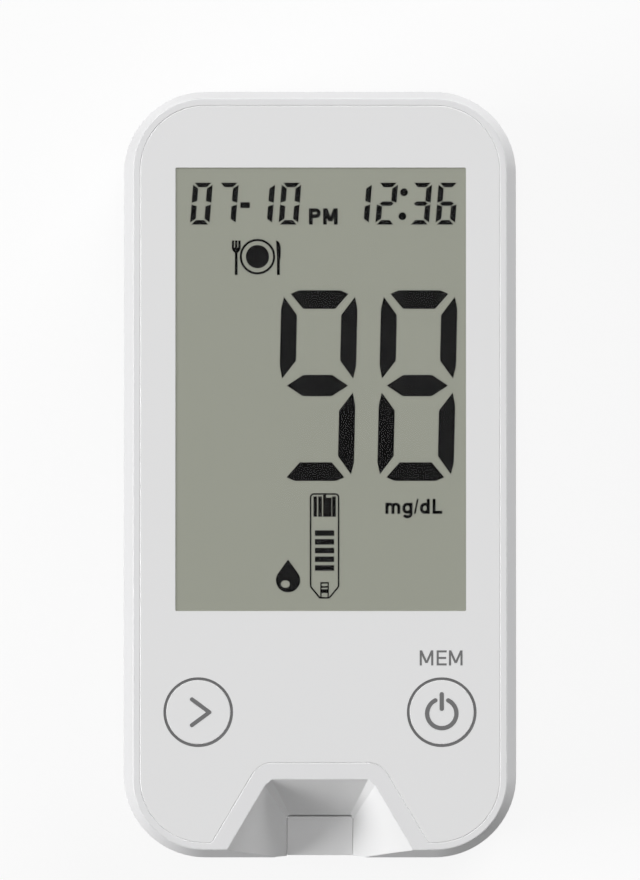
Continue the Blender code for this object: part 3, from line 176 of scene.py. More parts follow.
# Screws, bosses and posts
SCREW_BOXES = [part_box(f"case_screw_{number}") for number in range(1, 5)]
SCREW_PLACES = [((low.x + high.x) / 2, (low.y + high.y) / 2) for low, high in SCREW_BOXES]
SCREW_LOW, SCREW_HIGH = SCREW_BOXES[0]
SCREW_HEAD_RADIUS = (SCREW_HIGH.x - SCREW_LOW.x) / 2
SCREW_SHANK_RADIUS = 0.8 * MM
SCREW_HEAD_HEIGHT = 1.1 * MM
SCREW_SEAT = SCREW_LOW.z + SCREW_HEAD_HEIGHT + GAP
REAR_BOSS_RADIUS = 2.4 * MM
FRONT_BOSS_RADIUS = 1.8 * MM
REAR_BOSS_TOP = 9.4 * MM
POST_RADIUS = 1.5 * MM
POST_X = HALF_WIDTH - 5.45 * MM
POST_Y = 22 * MM
BOARD_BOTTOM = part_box("main_board")[0].z

# Battery well
CELL_BOXES = [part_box(f"coin_cell_{number}") for number in (1, 2)]
CELL_PLACES = [(low.y + high.y) / 2 for low, high in CELL_BOXES]
CELL_LOW, CELL_HIGH = CELL_BOXES[0]
CELL_RADIUS = CELL_HIGH.x
POCKET_RADIUS = CELL_RADIUS + GAP
DOOR_TOP = 1.3 * MM
RECESS_TOP = CELL_LOW.z - GAP
POCKET_TOP = 6.1 * MM
WELL_TOP = 6.9 * MM
WELL_SIDE_WALL = 1.1 * MM
WELL_END_WALL = 1.3 * MM
SCOOP_LENGTH = 3.7 * MM
DOOR_CORNER = 1.5 * MM
HOOK_X = 7 * MM
HOOK_HALF_WIDTH = 1.8 * MM
HOOK_BOTTOM = 1.85 * MM
HOOK_TOP = 2.8 * MM
HOOK_REACH = 1.5 * MM
DOOR_START_Y = DOOR_LOW.y + HOOK_REACH
DOOR_END_Y = DOOR_HIGH.y
DOOR_HALF_WIDTH = DOOR_HIGH.x

# Pads and grips of the door, label recess, sound holes and finger scoop
PAD_RADIUS = 8 * MM
LABEL_HALF_WIDTH = 12.5 * MM
LABEL_TO_END = 7.5 * MM
LABEL_TO_DOOR = 7 * MM
LABEL_CORNER = 1 * MM
LABEL_DEPTH = 0.2 * MM
SOUND_HOLE_RADIUS = 0.6 * MM
SOUND_HOLE_PITCH = 2.5 * MM
SOUND_HOLES_TO_DOOR = 4.7 * MM
FINGER_RADIUS = 4 * MM
FINGER_DEPTH = 1.2 * MM
FINGER_HALF_WIDTH = 4 * MM
GRIP_COUNT = 4
GRIP_PITCH = 1.3 * MM
GRIP_WIDTH = 0.6 * MM
GRIP_HALF_LENGTH = 5.5 * MM
GRIP_TO_END = 3.5 * MM
HOOK_RISER_OFFSET = 0.1 * MM
HOOK_RISER_LENGTH = 1 * MM
HOOK_STEP = 0.1 * MM
BLADE_ROOM = 1.3 * MM

# Signs pressed into the door and the cells
ARROW_HALF = 1.1 * MM
MARK_CORNER = 0.15 * MM
MARK_DEPTH = 0.12 * MM
CELL_CAP_HEIGHT = 0.4 * MM
CELL_CAP_INSET = 1.2 * MM
CELL_EDGE = 0.2 * MM
CELL_LETTER = 2.6 * MM
CELL_LINE = 0.34 * MM
PLUS_HALF = 1.7 * MM
PLUS_LINE = 0.5 * MM
PLUS_SHIFT = 3.6 * MM
CELL_THREE_WIDTH = 0.62 * CELL_LETTER
CELL_THREE_X = 0.75 * CELL_LETTER
CELL_V_WIDTH = 0.8 * CELL_LETTER
CELL_V_X = -0.1 * CELL_LETTER

# Screw heads and threads
CROSS_HALF_LENGTH = 0.9 * MM
CROSS_HALF_WIDTH = 0.22 * MM
CROSS_DEPTH = 0.6 * MM
CROSS_TAPER = 0.8
SCREW_HEAD_EDGE = 0.25 * MM
THREAD_DEPTH = 0.15 * MM
THREAD_TURNS = 15
THREAD_STEPS = 8
THREAD_FADE_SHARE = 1 / 8
SHANK_POINT_SHARE = 1 / 10
SHANK_POINT_RADIUS = 0.35

# Marks printed on the keys and the faceplate
ARROW_TIP = 1.29 * MM
ARROW_TAIL = 0.74 * MM
ARROW_HALF_HEIGHT = 1.5 * MM
POWER_RING_DROP = 0.15 * MM
POWER_RADIUS = 1.70 * MM
POWER_GAP_DEGREES = 52
POWER_BAR_LOW = 0.31 * MM
POWER_BAR_HIGH = 2.49 * MM
POWER_BAR_CORNER = 0.23 * MM
WORD_CAP = 1.744 * MM
WORD_LINE = 0.235 * MM
WORD_X = 11.59 * MM
WORD_Y = -22.26 * MM
WORD_M_WIDTH = 1.57 * MM
WORD_E_WIDTH = 1.16 * MM
WORD_E_STEP = 1.97 * MM
WORD_M_STEP = 3.40 * MM
WORD_M_DIP = 0.16

# Figures and letters of the display
SMALL_PITCH = 3.03 * MM
SMALL_BASE = 29.02 * MM
LARGE_X = 6.63 * MM
LARGE_PITCH = 11.62 * MM
LARGE_BASE = -0.81 * MM
UNIT_BASE = -4.64 * MM
FIGURE_PAIRS = {"07": -15.14 * MM, "10": -7.86 * MM, "12": 3.40 * MM, "36": 10.40 * MM}
DASH_LOW = (-9.27 * MM, 30.95 * MM)
DASH_HIGH = (-8.17 * MM, 31.62 * MM)
COLON_DOTS = ((9.78 * MM, 32.78 * MM), (9.59 * MM, 29.99 * MM))
COLON_DOT_RADIUS = 0.45 * MM
AFTERNOON_CAP = 1.88 * MM
AFTERNOON_LINE = 0.44 * MM
AFTERNOON_BOWL = 0.6
AFTERNOON_DIP = 0.2
AFTERNOON_P_WIDTH = 1.37 * MM
AFTERNOON_P_X = -1.29 * MM
AFTERNOON_M_WIDTH = 1.70 * MM
AFTERNOON_M_X = 0.36 * MM
UNIT_CAP = 1.735 * MM
UNIT_HIGH = 1.29 * MM
UNIT_LINE = 0.35 * MM
UNIT_DROP = 0.52 * MM
UNIT_SLASH_LINE = 0.2 * MM
UNIT_WIDTHS = {"m": 1.735 * MM, "g": 1.19 * MM, "slash": 0.56 * MM, "d": 1.14 * MM, "l": 1.13 * MM}
UNIT_PLACES = {"m": 7.61 * MM, "g": 9.57 * MM, "slash": 10.91 * MM, "d": 11.62 * MM, "l": 13.09 * MM}

# Contacts of the strip sign, in millimetres: left edge, right edge, drop of the top
STRIP_CONTACTS = (
    (-0.76, -0.35, 0), (-0.21, 0.23, 0), (0.36, 0.70, -0.18), (0.69, 1.34, 0.15), (1.41, 1.84, 0),
)

# Rungs of its boxed end, in millimetres: foot, top
STRIP_RUNGS = ((-12.76, -12.58), (-13.25, -13.05), (-13.85, -13.41))
STRIP_BARS = 5

# Letters: shares of their width, cap height or line, and angles in degrees
V_LINE = 1.12
E_MIDDLE_ARM = 0.94
G_HOOK_START = -155
THREE_MIDDLE = 0.44
THREE_HEAD_HALF = 0.4
THREE_FOOT_HALF = 0.46
THREE_HEAD_HEIGHT = 0.47
THREE_FOOT_HEIGHT = 0.53
THREE_OPENING = 150

# Steps round corners, edges and circles
CORNER_STEPS = 18
FILLET_STEPS = 6
EDGE_STEPS = 5
BACK_STEPS = 12
FUNNEL_STEPS = 24
ROUND_STEPS = 96
SMALL_STEPS = 40
SHARP_ANGLE = math.radians(28)

# Finishes that the user doesn't choose: linear colours, gloss and slow clouds of tone
NICKEL = (0.62, 0.61, 0.58)
DRAWN_STEEL = (0.60, 0.60, 0.585)
ZINC = (0.56, 0.57, 0.58)
GOLD = (0.83, 0.60, 0.24)
RUBBER_GREY = (0.20, 0.20, 0.21)
EPOXY_BLACK = (0.02, 0.02, 0.022)
CONNECTOR_BLACK = (0.03, 0.03, 0.032)
FRAME_WHITE = (0.80, 0.80, 0.78)
CASE_ROUGHNESS = 0.6
CASE_SPECULAR = 0.3
LAND_SPECULAR = 0.5
FINE_ROUGHNESS = 0.6
CLOUD_DETAIL = 3.0
CLOUD_RANGE = (0.3, 0.7)
CLEAR_IOR = 1.12
SMUDGE_RANGE = (0.4, 0.7)
SMUDGE_ROUGHNESS = 0.02
TRACK_SCALE = 420.0
TRACK_EDGE = (0.30, 0.34)
TRACK_BRIGHTER = 2.2
TRACK_PALER = 0.01

# Numbers of the Mix node's colour sockets, whose names its other sockets have too
MIX_SHARE, MIX_FIRST, MIX_SECOND, MIX_RESULT = 0, 6, 7, 2

# Stage
SENSOR = 36
NEAREST, FARTHEST = 10 * MM, 10
LAMP_DIRECTIONS = {"left": (-0.924, -0.08, 0.375), "top": (0.377, 0.847, 0.375), "overhead": (0.0, 0.0, 1.0)}
LAMP_DISTANCE = 3.0
LAMP_SIZE = 1.8
FLOOR_HALF = 3.0
FLOOR_DROP = 0.02 * MM
FLOOR_GREY = 0.3
FLOOR_WHITE = 0.95
FLOOR_ROUGHNESS = 0.9
FLOOR_GLOW_SHARE = 0.86
FOOT_HALF_WIDTH = HALF_WIDTH - REAR_LEAN - BACK_EDGE_RADIUS
FOOT_HALF_LENGTH = HALF_LENGTH - REAR_LEAN - BACK_EDGE_RADIUS
FOOT_CORNER = FOOT_HALF_WIDTH + FOOT_HALF_LENGTH - (CORNER_RADIUS - REAR_LEAN) * (2 - math.sqrt(2))
FOOT_BLEND = 1.6 * MM
LIGHT_FROM_BELOW = 0.75
HORIZON_BLEND = 0.02


def length(name, description, default):
    """A length that a user can change."""
    return FloatProperty(
        name=name, description=description, default=default, min=0, precision=5, unit="LENGTH"
    )


def power(name, description, default):
    """A lamp's power that a user can change."""
    return FloatProperty(name=name, description=description, default=default, min=0, unit="POWER")


def colour(name, description, default):
    """A linear colour that a user can change."""
    return FloatVectorProperty(
        name=name, description=description, default=default, size=3, min=0, max=1, subtype="COLOR"
    )


class MeterEdges(PropertyGroup):
    """Edges and seams of the mouldings."""

    rim_radius: length("Rim edge", "Radius between the leaning wall and the rim", 0.2 * MM)
    seam_inset: length("Seam inset", "From the widest outline in to the seam round the face", 2.13 * MM)
    seam_gap: length("Seam gap", "Gap between the rim and the faceplate", 0.006 * MM)
    seam_chamfer: length("Seam chamfer", "Width of the bevel on both sides of the seam", 0.08 * MM)
    seam_depth: length("Seam depth", "Depth of the bevel on both sides of the seam", 0.05 * MM)
    funnel_edge: length("Funnel edge", "Radius round the mouth of the strip port", 0.08 * MM)
    window_gap: length("Window gap", "Gap between the faceplate and the lens", 0.01 * MM)
    lens_thickness: length("Lens thickness", "Clear window over the display", 0.045 * MM)
    key_edge: length("Key edge", "Radius round the top of a key", 0.08 * MM)
    door_edge: length("Door edge", "Radius round the outside of the battery door", 0.25 * MM)


class MeterPrint(PropertyGroup):
    """Printed and moulded marks."""

    # The grey ring fills the gap round a key: a printed line, and painted shade of the gap.
    ring_width: length("Ring width", "Width of the grey ring round a key", 0.3 * MM)
    arrow_stroke: length("Arrow stroke", "Line width of the arrow on the left key", 0.47 * MM)
    power_stroke: length("Power stroke", "Line width of the power sign on the right key", 0.5 * MM)
    segment_height: length("Segment height", "How far display segments stand on the film", 0.03 * MM)


class MeterColours(PropertyGroup):
    """Colours of the visible finishes."""

    case: colour("Case", "White of the two covers and the door", (0.86, 0.86, 0.867))
    face: colour("Face", "White of the faceplate and keys", (0.86, 0.86, 0.863))
    # Painted light: the strip port is painted a lighter white than the case, so that its deep walls and floor
    # look lit.
    guide: colour("Strip port", "White of the walls and floor of the strip port", (0.96, 0.96, 0.962))
    ink: colour("Ink", "Grey of rings, symbols and lettering", (0.151, 0.151, 0.153))
    film: colour("Display", "Grey green of the display", (0.368, 0.379, 0.317))
    segment: colour("Segments", "Black of switched-on segments", (0.004, 0.004, 0.004))
    board: colour("Solder mask", "Green of the main board", (0.012, 0.11, 0.045))


class MeterStudio(PropertyGroup):
    """Light and camera."""

    left_energy: power("Left lamp", "Power of the large lamp on the left", 71.0)
    top_energy: power("Top lamp", "Power of the large lamp beyond the top end", 67.0)
    overhead_energy: power("Overhead lamp", "Power of the weak lamp over the meter", 7.8)
    world: FloatProperty(
        name="World", description="Strength of the even light from all round", default=0.18,
        min=0, max=2, subtype="FACTOR",
    )
    camera_distance: length("Camera distance", "From the camera to the widest outline", 590 * MM)
    camera_tilt: FloatProperty(
        name="Camera tilt", description="How far the camera looks from the strip port's side",
        default=math.radians(0.8), subtype="ANGLE",
    )
    aim_y: FloatProperty(
        name="Aim", description="Point on the long axis at the middle of the picture",
        default=4.03 * MM, unit="LENGTH",
    )
    view_height: length("View height", "Length that fills the picture from bottom to top", 103.5 * MM)


# Outlines in the plane


def arc(centre, radius, start, end, steps=SMALL_STEPS):
    """Centre plus radius times (cosine, sine) at even angles between two angles in degrees."""
    angles = np.radians(np.linspace(start, end, steps + 1))
    return np.asarray(centre) + radius * np.stack([np.cos(angles), np.sin(angles)], axis=-1)


def circle(centre, radius, steps=ROUND_STEPS):
    """A full turn of an arc, without its repeated last point."""
    return arc(centre, radius, 0, 360, steps)[:-1]


def oval(centre, radius_x, radius_y, start=0, end=360):
    """Centre plus (radius_x times cosine, radius_y times sine) at even angles in degrees."""
    angles = np.radians(np.linspace(start, end, SMALL_STEPS + 1))
    return np.stack([radius_x * np.cos(angles), radius_y * np.sin(angles)], axis=-1) + centre


def filleted(corners, radii, steps=FILLET_STEPS):
    """Each corner becomes an arc that touches both its sides.

    The arc starts radius times tan(turn / 2) before the corner, its centre lies one
    radius to the inside of the side, and its spoke turns evenly by the corner's angle.
    Two arcs that need more than the side between them are made smaller by one share.
    """
    corners = np.asarray(corners, float)
    back = corners - np.roll(corners, 1, axis=0)
    ahead = np.roll(corners, -1, axis=0) - corners
    run = np.linalg.norm(ahead, axis=1)
    back /= np.linalg.norm(back, axis=1, keepdims=True)
    ahead /= run[:, None]
    turn = np.arctan2(back[:, 0] * ahead[:, 1] - back[:, 1] * ahead[:, 0], np.sum(back * ahead, axis=1))
    slope = np.abs(np.tan(turn / 2))
    reach = np.broadcast_to(radii, len(corners)) * slope
    share = np.minimum(1, run / np.maximum(reach + np.roll(reach, -1), MERGE))
    reach = reach * np.minimum(share, np.roll(share, 1))
    start = corners - back * reach[:, None]
    inward = np.stack([-back[:, 1], back[:, 0]], axis=-1) * (np.sign(turn) * reach / slope)[:, None]
    centre = start + inward
    angle = turn[:, None] * np.linspace(0, 1, steps + 1)
    cosine, sine = np.cos(angle), np.sin(angle)
    x = -inward[:, :1] * cosine + inward[:, 1:] * sine
    y = -inward[:, :1] * sine - inward[:, 1:] * cosine
    return (centre[:, None, :] + np.stack([x, y], axis=-1)).reshape(-1, 2)


def parallel(outline, distance):
    """An anticlockwise outline with every side moved outward by a distance.

    A point moves by the distance times the sum of its sides' normals over one plus
    their dot product, which keeps both sides parallel to where they were.
    """
    side = np.roll(outline, -1, axis=0) - outline
    side /= np.linalg.norm(side, axis=1, keepdims=True)
    after = np.stack([side[:, 1], -side[:, 0]], axis=-1)
    before = np.roll(after, 1, axis=0)
    return outline + distance * (before + after) / (1 + np.sum(before * after, axis=1, keepdims=True))


def rectangle(half_width, low, high, radius=HAIR, steps=FILLET_STEPS):
    """A rectangle centred across the meter, with round corners."""
    corners = ((-half_width, low), (half_width, low), (half_width, high), (-half_width, high))
    return filleted(corners, radius, steps)


# Closed forms: points and faces


def level(outline, height):
    """An outline at a height."""
    return np.column_stack([outline, np.full(len(outline), height)])


def loft(rings, closed=False):
    """Quads between rings of equally many points, with a cap at each end.

    A closed loft joins its last ring to its first and has no caps.
    """
    rings = np.asarray(rings)
    index = np.arange(rings.shape[0] * rings.shape[1]).reshape(rings.shape[:2])
    lower = index if closed else index[:-1]
    upper = np.roll(index, -1, axis=0) if closed else index[1:]
    quads = np.stack([lower, np.roll(lower, -1, axis=1), np.roll(upper, -1, axis=1), upper], axis=-1)
    faces = quads.reshape(-1, 4).tolist()
    if not closed:
        faces += [index[0, ::-1].tolist(), index[-1].tolist()]
    return rings.reshape(-1, 3), faces


def risen(outline, section):
    """Rings of an outline, one for each (distance drawn in, height) of a section."""
    return np.stack([level(parallel(outline, -inset), height) for inset, height in section])


def rounded_foot(wall, bottom, edge, inward=-1, steps=EDGE_STEPS):
    """A quarter circle from a bottom up into a wall, as (place across, height).

    Inward is the direction from the wall's place to its inside: -1 for a radius, and 1
    for a distance drawn in from an outline.
    """
    bend = np.radians(np.linspace(0, 90, steps + 1))
    return np.column_stack([wall + inward * edge * (1 - np.sin(bend)), bottom + edge * (1 - np.cos(bend))])


def rounded_head(wall, top, edge, inward=-1):
    """A quarter circle from a wall in to a top, as (place across, height)."""
    bend = np.radians(np.linspace(0, 90, EDGE_STEPS + 1))
    return np.column_stack([wall + inward * edge * (1 - np.cos(bend)), top - edge * (1 - np.sin(bend))])


def edge_section(bottom, top, low_radius=0.0, high_radius=0.0):
    """A straight wall as (distance drawn in, height), with a quarter circle at either end."""
    low = rounded_foot(0, bottom, low_radius, inward=1)
    high = rounded_head(0, top, high_radius, inward=1)
    return np.concatenate([low if low_radius else low[-1:], high if high_radius else high[:1]])


def prism(outline, bottom, top, low_radius=0.0, high_radius=0.0):
    """An outline carried up between two heights, with rounded edges if they have a radius."""
    return loft(risen(outline, edge_section(bottom, top, low_radius, high_radius)))


def turned(place, profile, steps=ROUND_STEPS, closed=False):
    """A profile of (radius, height) carried round an upright axis."""
    return loft([level(circle(place, radius, steps), height) for radius, height in profile], closed)


def together(forms):
    """Several forms as one, with each one's faces counted on from the points before it."""
    points, faces, count = [], [], 0
    for form_points, form_faces in forms:
        points.append(form_points)
        faces += [[index + count for index in face] for face in form_faces]
        count += len(form_points)
    return np.concatenate(points), faces


def rods(places, radius, bottom, top, steps=SMALL_STEPS):
    """Upright round rods at several places, which also serve as cutters of round holes."""
    return together(prism(circle(place, radius, steps), bottom, top) for place in places)


def sunk(outline, depth, chamfer):
    """A cutter from below, with a chamfer where it meets the back."""
    return loft(risen(outline, [(-chamfer, -OVERRUN), (-chamfer, 0), (0, chamfer), (0, depth)]))


def blocks(*corners):
    """Blocks between pairs of opposite corners."""
    return together(prism(bar(*low[:2], *high[:2]), low[2], high[2]) for low, high in corners)


def lying(centre, radius, half_length, edge):
    """A rod along X whose ends are rounded by quarter circles: rings of points at steps in X."""
    x, y, z = centre
    size, reach = rounded_head(radius, half_length, edge).T
    along = np.concatenate([-reach[::-1], reach])[:, None]
    across = np.concatenate([size[::-1], size])[:, None]
    angles = np.linspace(0, 2 * math.pi, ROUND_STEPS, endpoint=False)
    rings = np.broadcast_arrays(x + along, y + across * np.cos(angles), z + across * np.sin(angles))
    return loft(np.stack(rings, axis=-1))


def anticlockwise(outline):
    """An outline in anticlockwise order, by the sign of the area that it encloses."""
    x, y = np.asarray(outline, float).T
    area = np.sum(x * np.roll(y, -1) - np.roll(x, -1) * y)
    return np.column_stack([x, y])[::1 if area > 0 else -1]


def inlay(outlines, bottom, top, holes=()):
    """The area covered by overlapping outlines and by no hole, given a thickness.

    The outlines are cut into triangles, each of which lies in some of them. The top is
    the triangles that count, the bottom is the same turned over, and a wall stands on
    each edge that only one triangle has.
    """
    rims = [anticlockwise(outline) for outline in (*outlines, *holes)]
    ends = np.cumsum([len(outline) for outline in rims])
    faces = [list(range(end - len(outline), end)) for outline, end in zip(rims, ends)]
    spots = [Vector(point) for outline in rims for point in outline]
    flat, _, triangles, _, _, owners = delaunay_2d_cdt(spots, [], faces, 0, SAME_POINT)
    flat = np.array([point[:] for point in flat])
    covered = [bool(owner) and max(owner) < len(outlines) for owner in owners]
    triangles = np.array(triangles)[covered]
    a, b, c = (flat[triangles[:, corner]] for corner in range(3))
    area = (b[:, 0] - a[:, 0]) * (c[:, 1] - a[:, 1]) - (b[:, 1] - a[:, 1]) * (c[:, 0] - a[:, 0])
    triangles[area < 0] = triangles[area < 0, ::-1]
    edges = np.concatenate([triangles[:, [0, 1]], triangles[:, [1, 2]], triangles[:, [2, 0]]])
    one_way = edges[:, 0] * len(flat) + edges[:, 1]
    other_way = edges[:, 1] * len(flat) + edges[:, 0]
    rim = edges[~np.isin(one_way, other_way)]
    count = len(flat)
    walls = np.column_stack([rim[:, 0], rim[:, 1], rim[:, 1] + count, rim[:, 0] + count])
    points = np.concatenate([level(flat, bottom), level(flat, top)])
    return points, triangles[:, ::-1].tolist() + (triangles + count).tolist() + walls.tolist()


def stroke(path, width, round_ends=False):
    """The outline of a line of one width: the path moved to its right, then back along its left."""
    path = np.asarray(path, float)
    side = np.diff(path, axis=0)
    side /= np.linalg.norm(side, axis=1, keepdims=True)
    before = np.concatenate([side[:1], side])
    after = np.concatenate([side, side[-1:]])
    before = np.stack([before[:, 1], -before[:, 0]], axis=-1)
    after = np.stack([after[:, 1], -after[:, 0]], axis=-1)
    shift = width / 2 * (before + after) / (1 + np.sum(before * after, axis=1, keepdims=True))
    right, left = path + shift, (path - shift)[::-1]
    if not round_ends:
        return np.concatenate([right, left])
    heading = math.degrees(math.atan2(side[-1, 1], side[-1, 0]))
    first = math.degrees(math.atan2(side[0, 1], side[0, 0]))
    tip = arc(path[-1], width / 2, heading - 90, heading + 90, FILLET_STEPS * 2)[1:-1]
    tail = arc(path[0], width / 2, first + 90, first + 270, FILLET_STEPS * 2)[1:-1]
    return np.concatenate([right, tip, left, tail])


# Letters, as lists of overlapping outlines with their lower left corner at the origin


def bar(left, low, right, high):
    """An upright rectangle between two corners."""
    return np.array([(left, low), (right, low), (right, high), (left, high)])


def ring_of(centre, radius_x, radius_y, width, start=0, end=360):
    """An oval ring or a part of one, as two strokes."""
    half = (start + end) / 2
    return [stroke(oval(centre, radius_x, radius_y, *ends), width) for ends in ((start, half), (half, end))]


def v_outline(width, high, low, line):
    """Two slanting lines of one level width, which meet at the bottom."""
    inner = high - (high - low) * (width / 2 - line) / (width / 2 - line / 2)
    right = [(width / 2, inner), (width - line, high), (width, high), ((width + line) / 2, low)]
    return np.array([*right, ((width - line) / 2, low), (0, high), (line, high)])


def capital_m(width, cap, line, dip):
    """Two uprights with a V between them that ends at a dip above the foot."""
    return [bar(0, 0, line, cap), bar(width - line, 0, width, cap), v_outline(width, cap, dip, line * V_LINE)]


def capital_e(width, cap, line):
    """An upright with three arms."""
    middle = (cap - line) / 2
    arms = [bar(0, low, width, low + line) for low in (0, cap - line)]
    return [bar(0, 0, line, cap), bar(0, middle, width * E_MIDDLE_ARM, middle + line), *arms]


def capital_l(width, cap, line):
    """An upright with a foot."""
    return [bar(0, 0, line, cap), bar(0, 0, width, line)]


def capital_p(width, cap, line, bowl):
    """An upright with a half-round bowl."""
    radius = (bowl - line) / 2
    centre = (width - line / 2 - radius, cap - line / 2 - radius)
    turn = arc(centre, radius, 90, -90)
    path = [(0, turn[0, 1]), *turn, (0, turn[-1, 1])]
    return [bar(0, 0, line, cap), stroke(path, line)]


def small_m(width, high, line):
    """Three uprights under two arches."""
    radius = (width - line) / 4
    shapes = [bar(0, 0, line, high)]
    for number in (1, 3):
        turn = arc((line / 2 + number * radius, high - line / 2 - radius), radius, 180, 0)
        path = [*turn, (turn[-1, 0], 0)]
        shapes.append(stroke(path, line))
    return shapes


def small_d(width, high, cap, line):
    """A round bowl against a tall upright."""
    bowl = ring_of((width / 2, high / 2), (width - line) / 2, (high - line) / 2, line)
    return [*bowl, bar(width - line, 0, width, cap)]


def small_g(width, high, drop, line):
    """A round bowl against an upright that turns to the left below the line."""
    bowl = ring_of((width / 2, high / 2), (width - line) / 2, (high - line) / 2, line)
    radius_y = drop - line / 2
    hook = ring_of((width / 2, 0), (width - line) / 2, radius_y, line, G_HOOK_START, 0)
    return [*bowl, bar(width - line, 0, width, high), *hook]


def slash(width, cap, line):
    """A slanting line with level ends."""
    return [np.array([(0, 0), (line, 0), (width, cap), (width - line, cap)])]


def figure_three(width, cap, line):
    """Two half rings, the lower one a little larger."""
    middle, head, foot = width * THREE_MIDDLE, cap * THREE_HEAD_HEIGHT, cap * THREE_FOOT_HEIGHT
    upper = ring_of((middle, cap - head / 2 - line / 4), width * THREE_HEAD_HALF, (head - line / 2) / 2, line,
                    -90, THREE_OPENING)
    lower = ring_of((middle, foot / 2 + line / 4), width * THREE_FOOT_HALF, (foot - line / 2) / 2, line,
                    -THREE_OPENING, 90)
    return upper + lower


def moved(outlines, x, y, mirror=1):
    """Outlines moved to a place, and turned over left to right where mirror is -1."""
    return [outline * (mirror, 1) + (x, y) for outline in outlines]


def spelled(letters, y):
    """Letters on one line, from pairs of a letter and its place across."""
    return [outline for letter, x in letters for outline in moved(letter, x, y)]


# Figures of the display

DigitShape = namedtuple("DigitShape", "width height bar cap middle lean tip far near end centre")

SMALL_DIGIT = DigitShape(
    width=2.27 * MM, height=4.87 * MM, bar=0.63 * MM, cap=0.52 * MM, middle=0.5 * MM,
    lean=math.radians(4.6), tip=0, far=(0.38, 0.38, 1.08), near=(0.16, 0.16, 0.5),
    end=(0.28, 0, 0.28, 1.02), centre=(0.5, 1.0),
)
LARGE_DIGIT = DigitShape(
    width=8.89 * MM, height=22.17 * MM, bar=1.87 * MM, cap=2.15 * MM, middle=2.47 * MM,
    lean=math.radians(1.3), tip=0.17, far=(0.41, 1.16, 1.54), near=(0.44, 1.25, 1.55),
    end=(0.58, 0.22, 1.09, 1.38), centre=(0.47, 1.48),
)
LIT = {
    "0": "abcdef", "1": "bc", "2": "abged", "3": "abgcd", "6": "acdefg", "7": "abc",
    "8": "abcdefg", "9": "abcdfg",
}


def figure(shape, name):
    """Lit segments of a seven-segment figure, which lean by their height times a tangent.

    An upright has its ends cut by the shares far and near of a bar's width, and is blunted
    by its tip. One level bar stands at the foot and one, the middle, at half the height.
    Their ends are cut by the shares end and centre. The rest are these turned over.
    """
    wide, high, half = shape.width, shape.height, shape.height / 2
    far, near, end = (np.array(shares) * shape.bar for shares in (shape.far, shape.near, shape.end))
    tip, body = np.array(shape.centre) * shape.bar
    edge = shape.tip * shape.bar
    upright = np.array([
        (edge, far[0]), (0, far[1]), (0, half - near[1]), (edge, half - near[0]),
        (shape.bar, half - near[2]), (shape.bar, far[2]),
    ])
    foot = np.array([
        (end[0], end[1]), (end[2], 0), (wide - end[2], 0), (wide - end[0], end[1]),
        (wide - end[3], shape.cap), (end[3], shape.cap),
    ])
    thick = shape.middle / 2
    middle = np.array([
        (tip, half), (body, half - thick), (wide - body, half - thick),
        (wide - tip, half), (wide - body, half + thick), (body, half + thick),
    ])
    over, across = np.array((1, -1)), np.array((-1, 1))
    segments = {
        "a": foot * over + (0, high), "b": -upright + (wide, high), "c": upright * across + (wide, 0),
        "d": foot, "e": upright, "f": upright * over + (0, high), "g": middle,
    }
    slope = math.tan(shape.lean)
    return [np.column_stack([x + y * slope, y]) for x, y in (segments[key].T for key in LIT[name])]


# Pieces from forms


def mesh_of(name, form):
    """A mesh with the points and faces of a form."""
    mesh = bpy.data.meshes.new(name)
    mesh.from_pydata(form[0].tolist(), [], form[1])
    return mesh


def form_of(mesh):
    """A mesh's points and faces as a form; the mesh is removed."""
    points = np.zeros(len(mesh.vertices) * 3, np.float32)
    mesh.vertices.foreach_get("co", points)
    faces = [list(face.vertices) for face in mesh.polygons]
    bpy.data.meshes.remove(mesh)
    return points.reshape(-1, 3).astype(float), faces


def join(*forms):
    """Steps of carving that add forms."""
    return [("UNION", form) for form in forms]


def cut(*forms):
    """Steps of carving that take forms away."""
    return [("DIFFERENCE", form) for form in forms]


def carved(name, form, *steps):
    """A form's mesh after exact Booleans with other forms, whose objects are removed again."""
    link = bpy.context.scene.collection.objects.link
    body = bpy.data.objects.new(name, mesh_of(name, form))
    link(body)
    tools = []
    for operation, other in steps:
        tool = bpy.data.objects.new(name + "_tool", mesh_of(name + "_tool", other))
        link(tool)
        tools.append(tool)
        step = body.modifiers.new(operation, "BOOLEAN")
        step.operation = operation
        step.solver = "EXACT"
        step.object = tool
    shape = body.evaluated_get(bpy.context.evaluated_depsgraph_get())
    mesh = bpy.data.meshes.new_from_object(shape)
    for leftover in (body, *tools):
        old = leftover.data
        bpy.data.objects.remove(leftover)
        bpy.data.meshes.remove(old)
    return mesh


def finished(name, shape, material, body, replaces=(), flat_faces=True):
    """A piece of the meter: merged, faces outward, shaded smooth up to its sharp edges."""
    mesh = shape if isinstance(shape, bpy.types.Mesh) else mesh_of(name, shape)
    mesh.name = name
    tool = bmesh.new()
    tool.from_mesh(mesh)
    bmesh.ops.remove_doubles(tool, verts=tool.verts, dist=MERGE)
    bmesh.ops.recalc_face_normals(tool, faces=tool.faces)
    tool.to_mesh(mesh)
    tool.free()
    mesh.materials.clear()
    mesh.materials.append(material)
    mesh.shade_smooth()
    mesh.set_sharp_from_angle(angle=SHARP_ANGLE)
    piece = bpy.data.objects.new(name, mesh)
    bpy.context.scene.collection.objects.link(piece)
    if flat_faces:
        weighted = piece.modifiers.new("Weighted normals", "WEIGHTED_NORMAL")
        weighted.keep_sharp = True
    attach(piece, body)
    if replaces:
        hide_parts(*replaces)
    return piece


# Shader nodes and node groups


def feed(tree, socket, value):
    """Link a socket to another one, or give it a plain value."""
    if isinstance(value, bpy.types.NodeSocket):
        tree.links.new(value, socket)
    else:
        socket.default_value = value


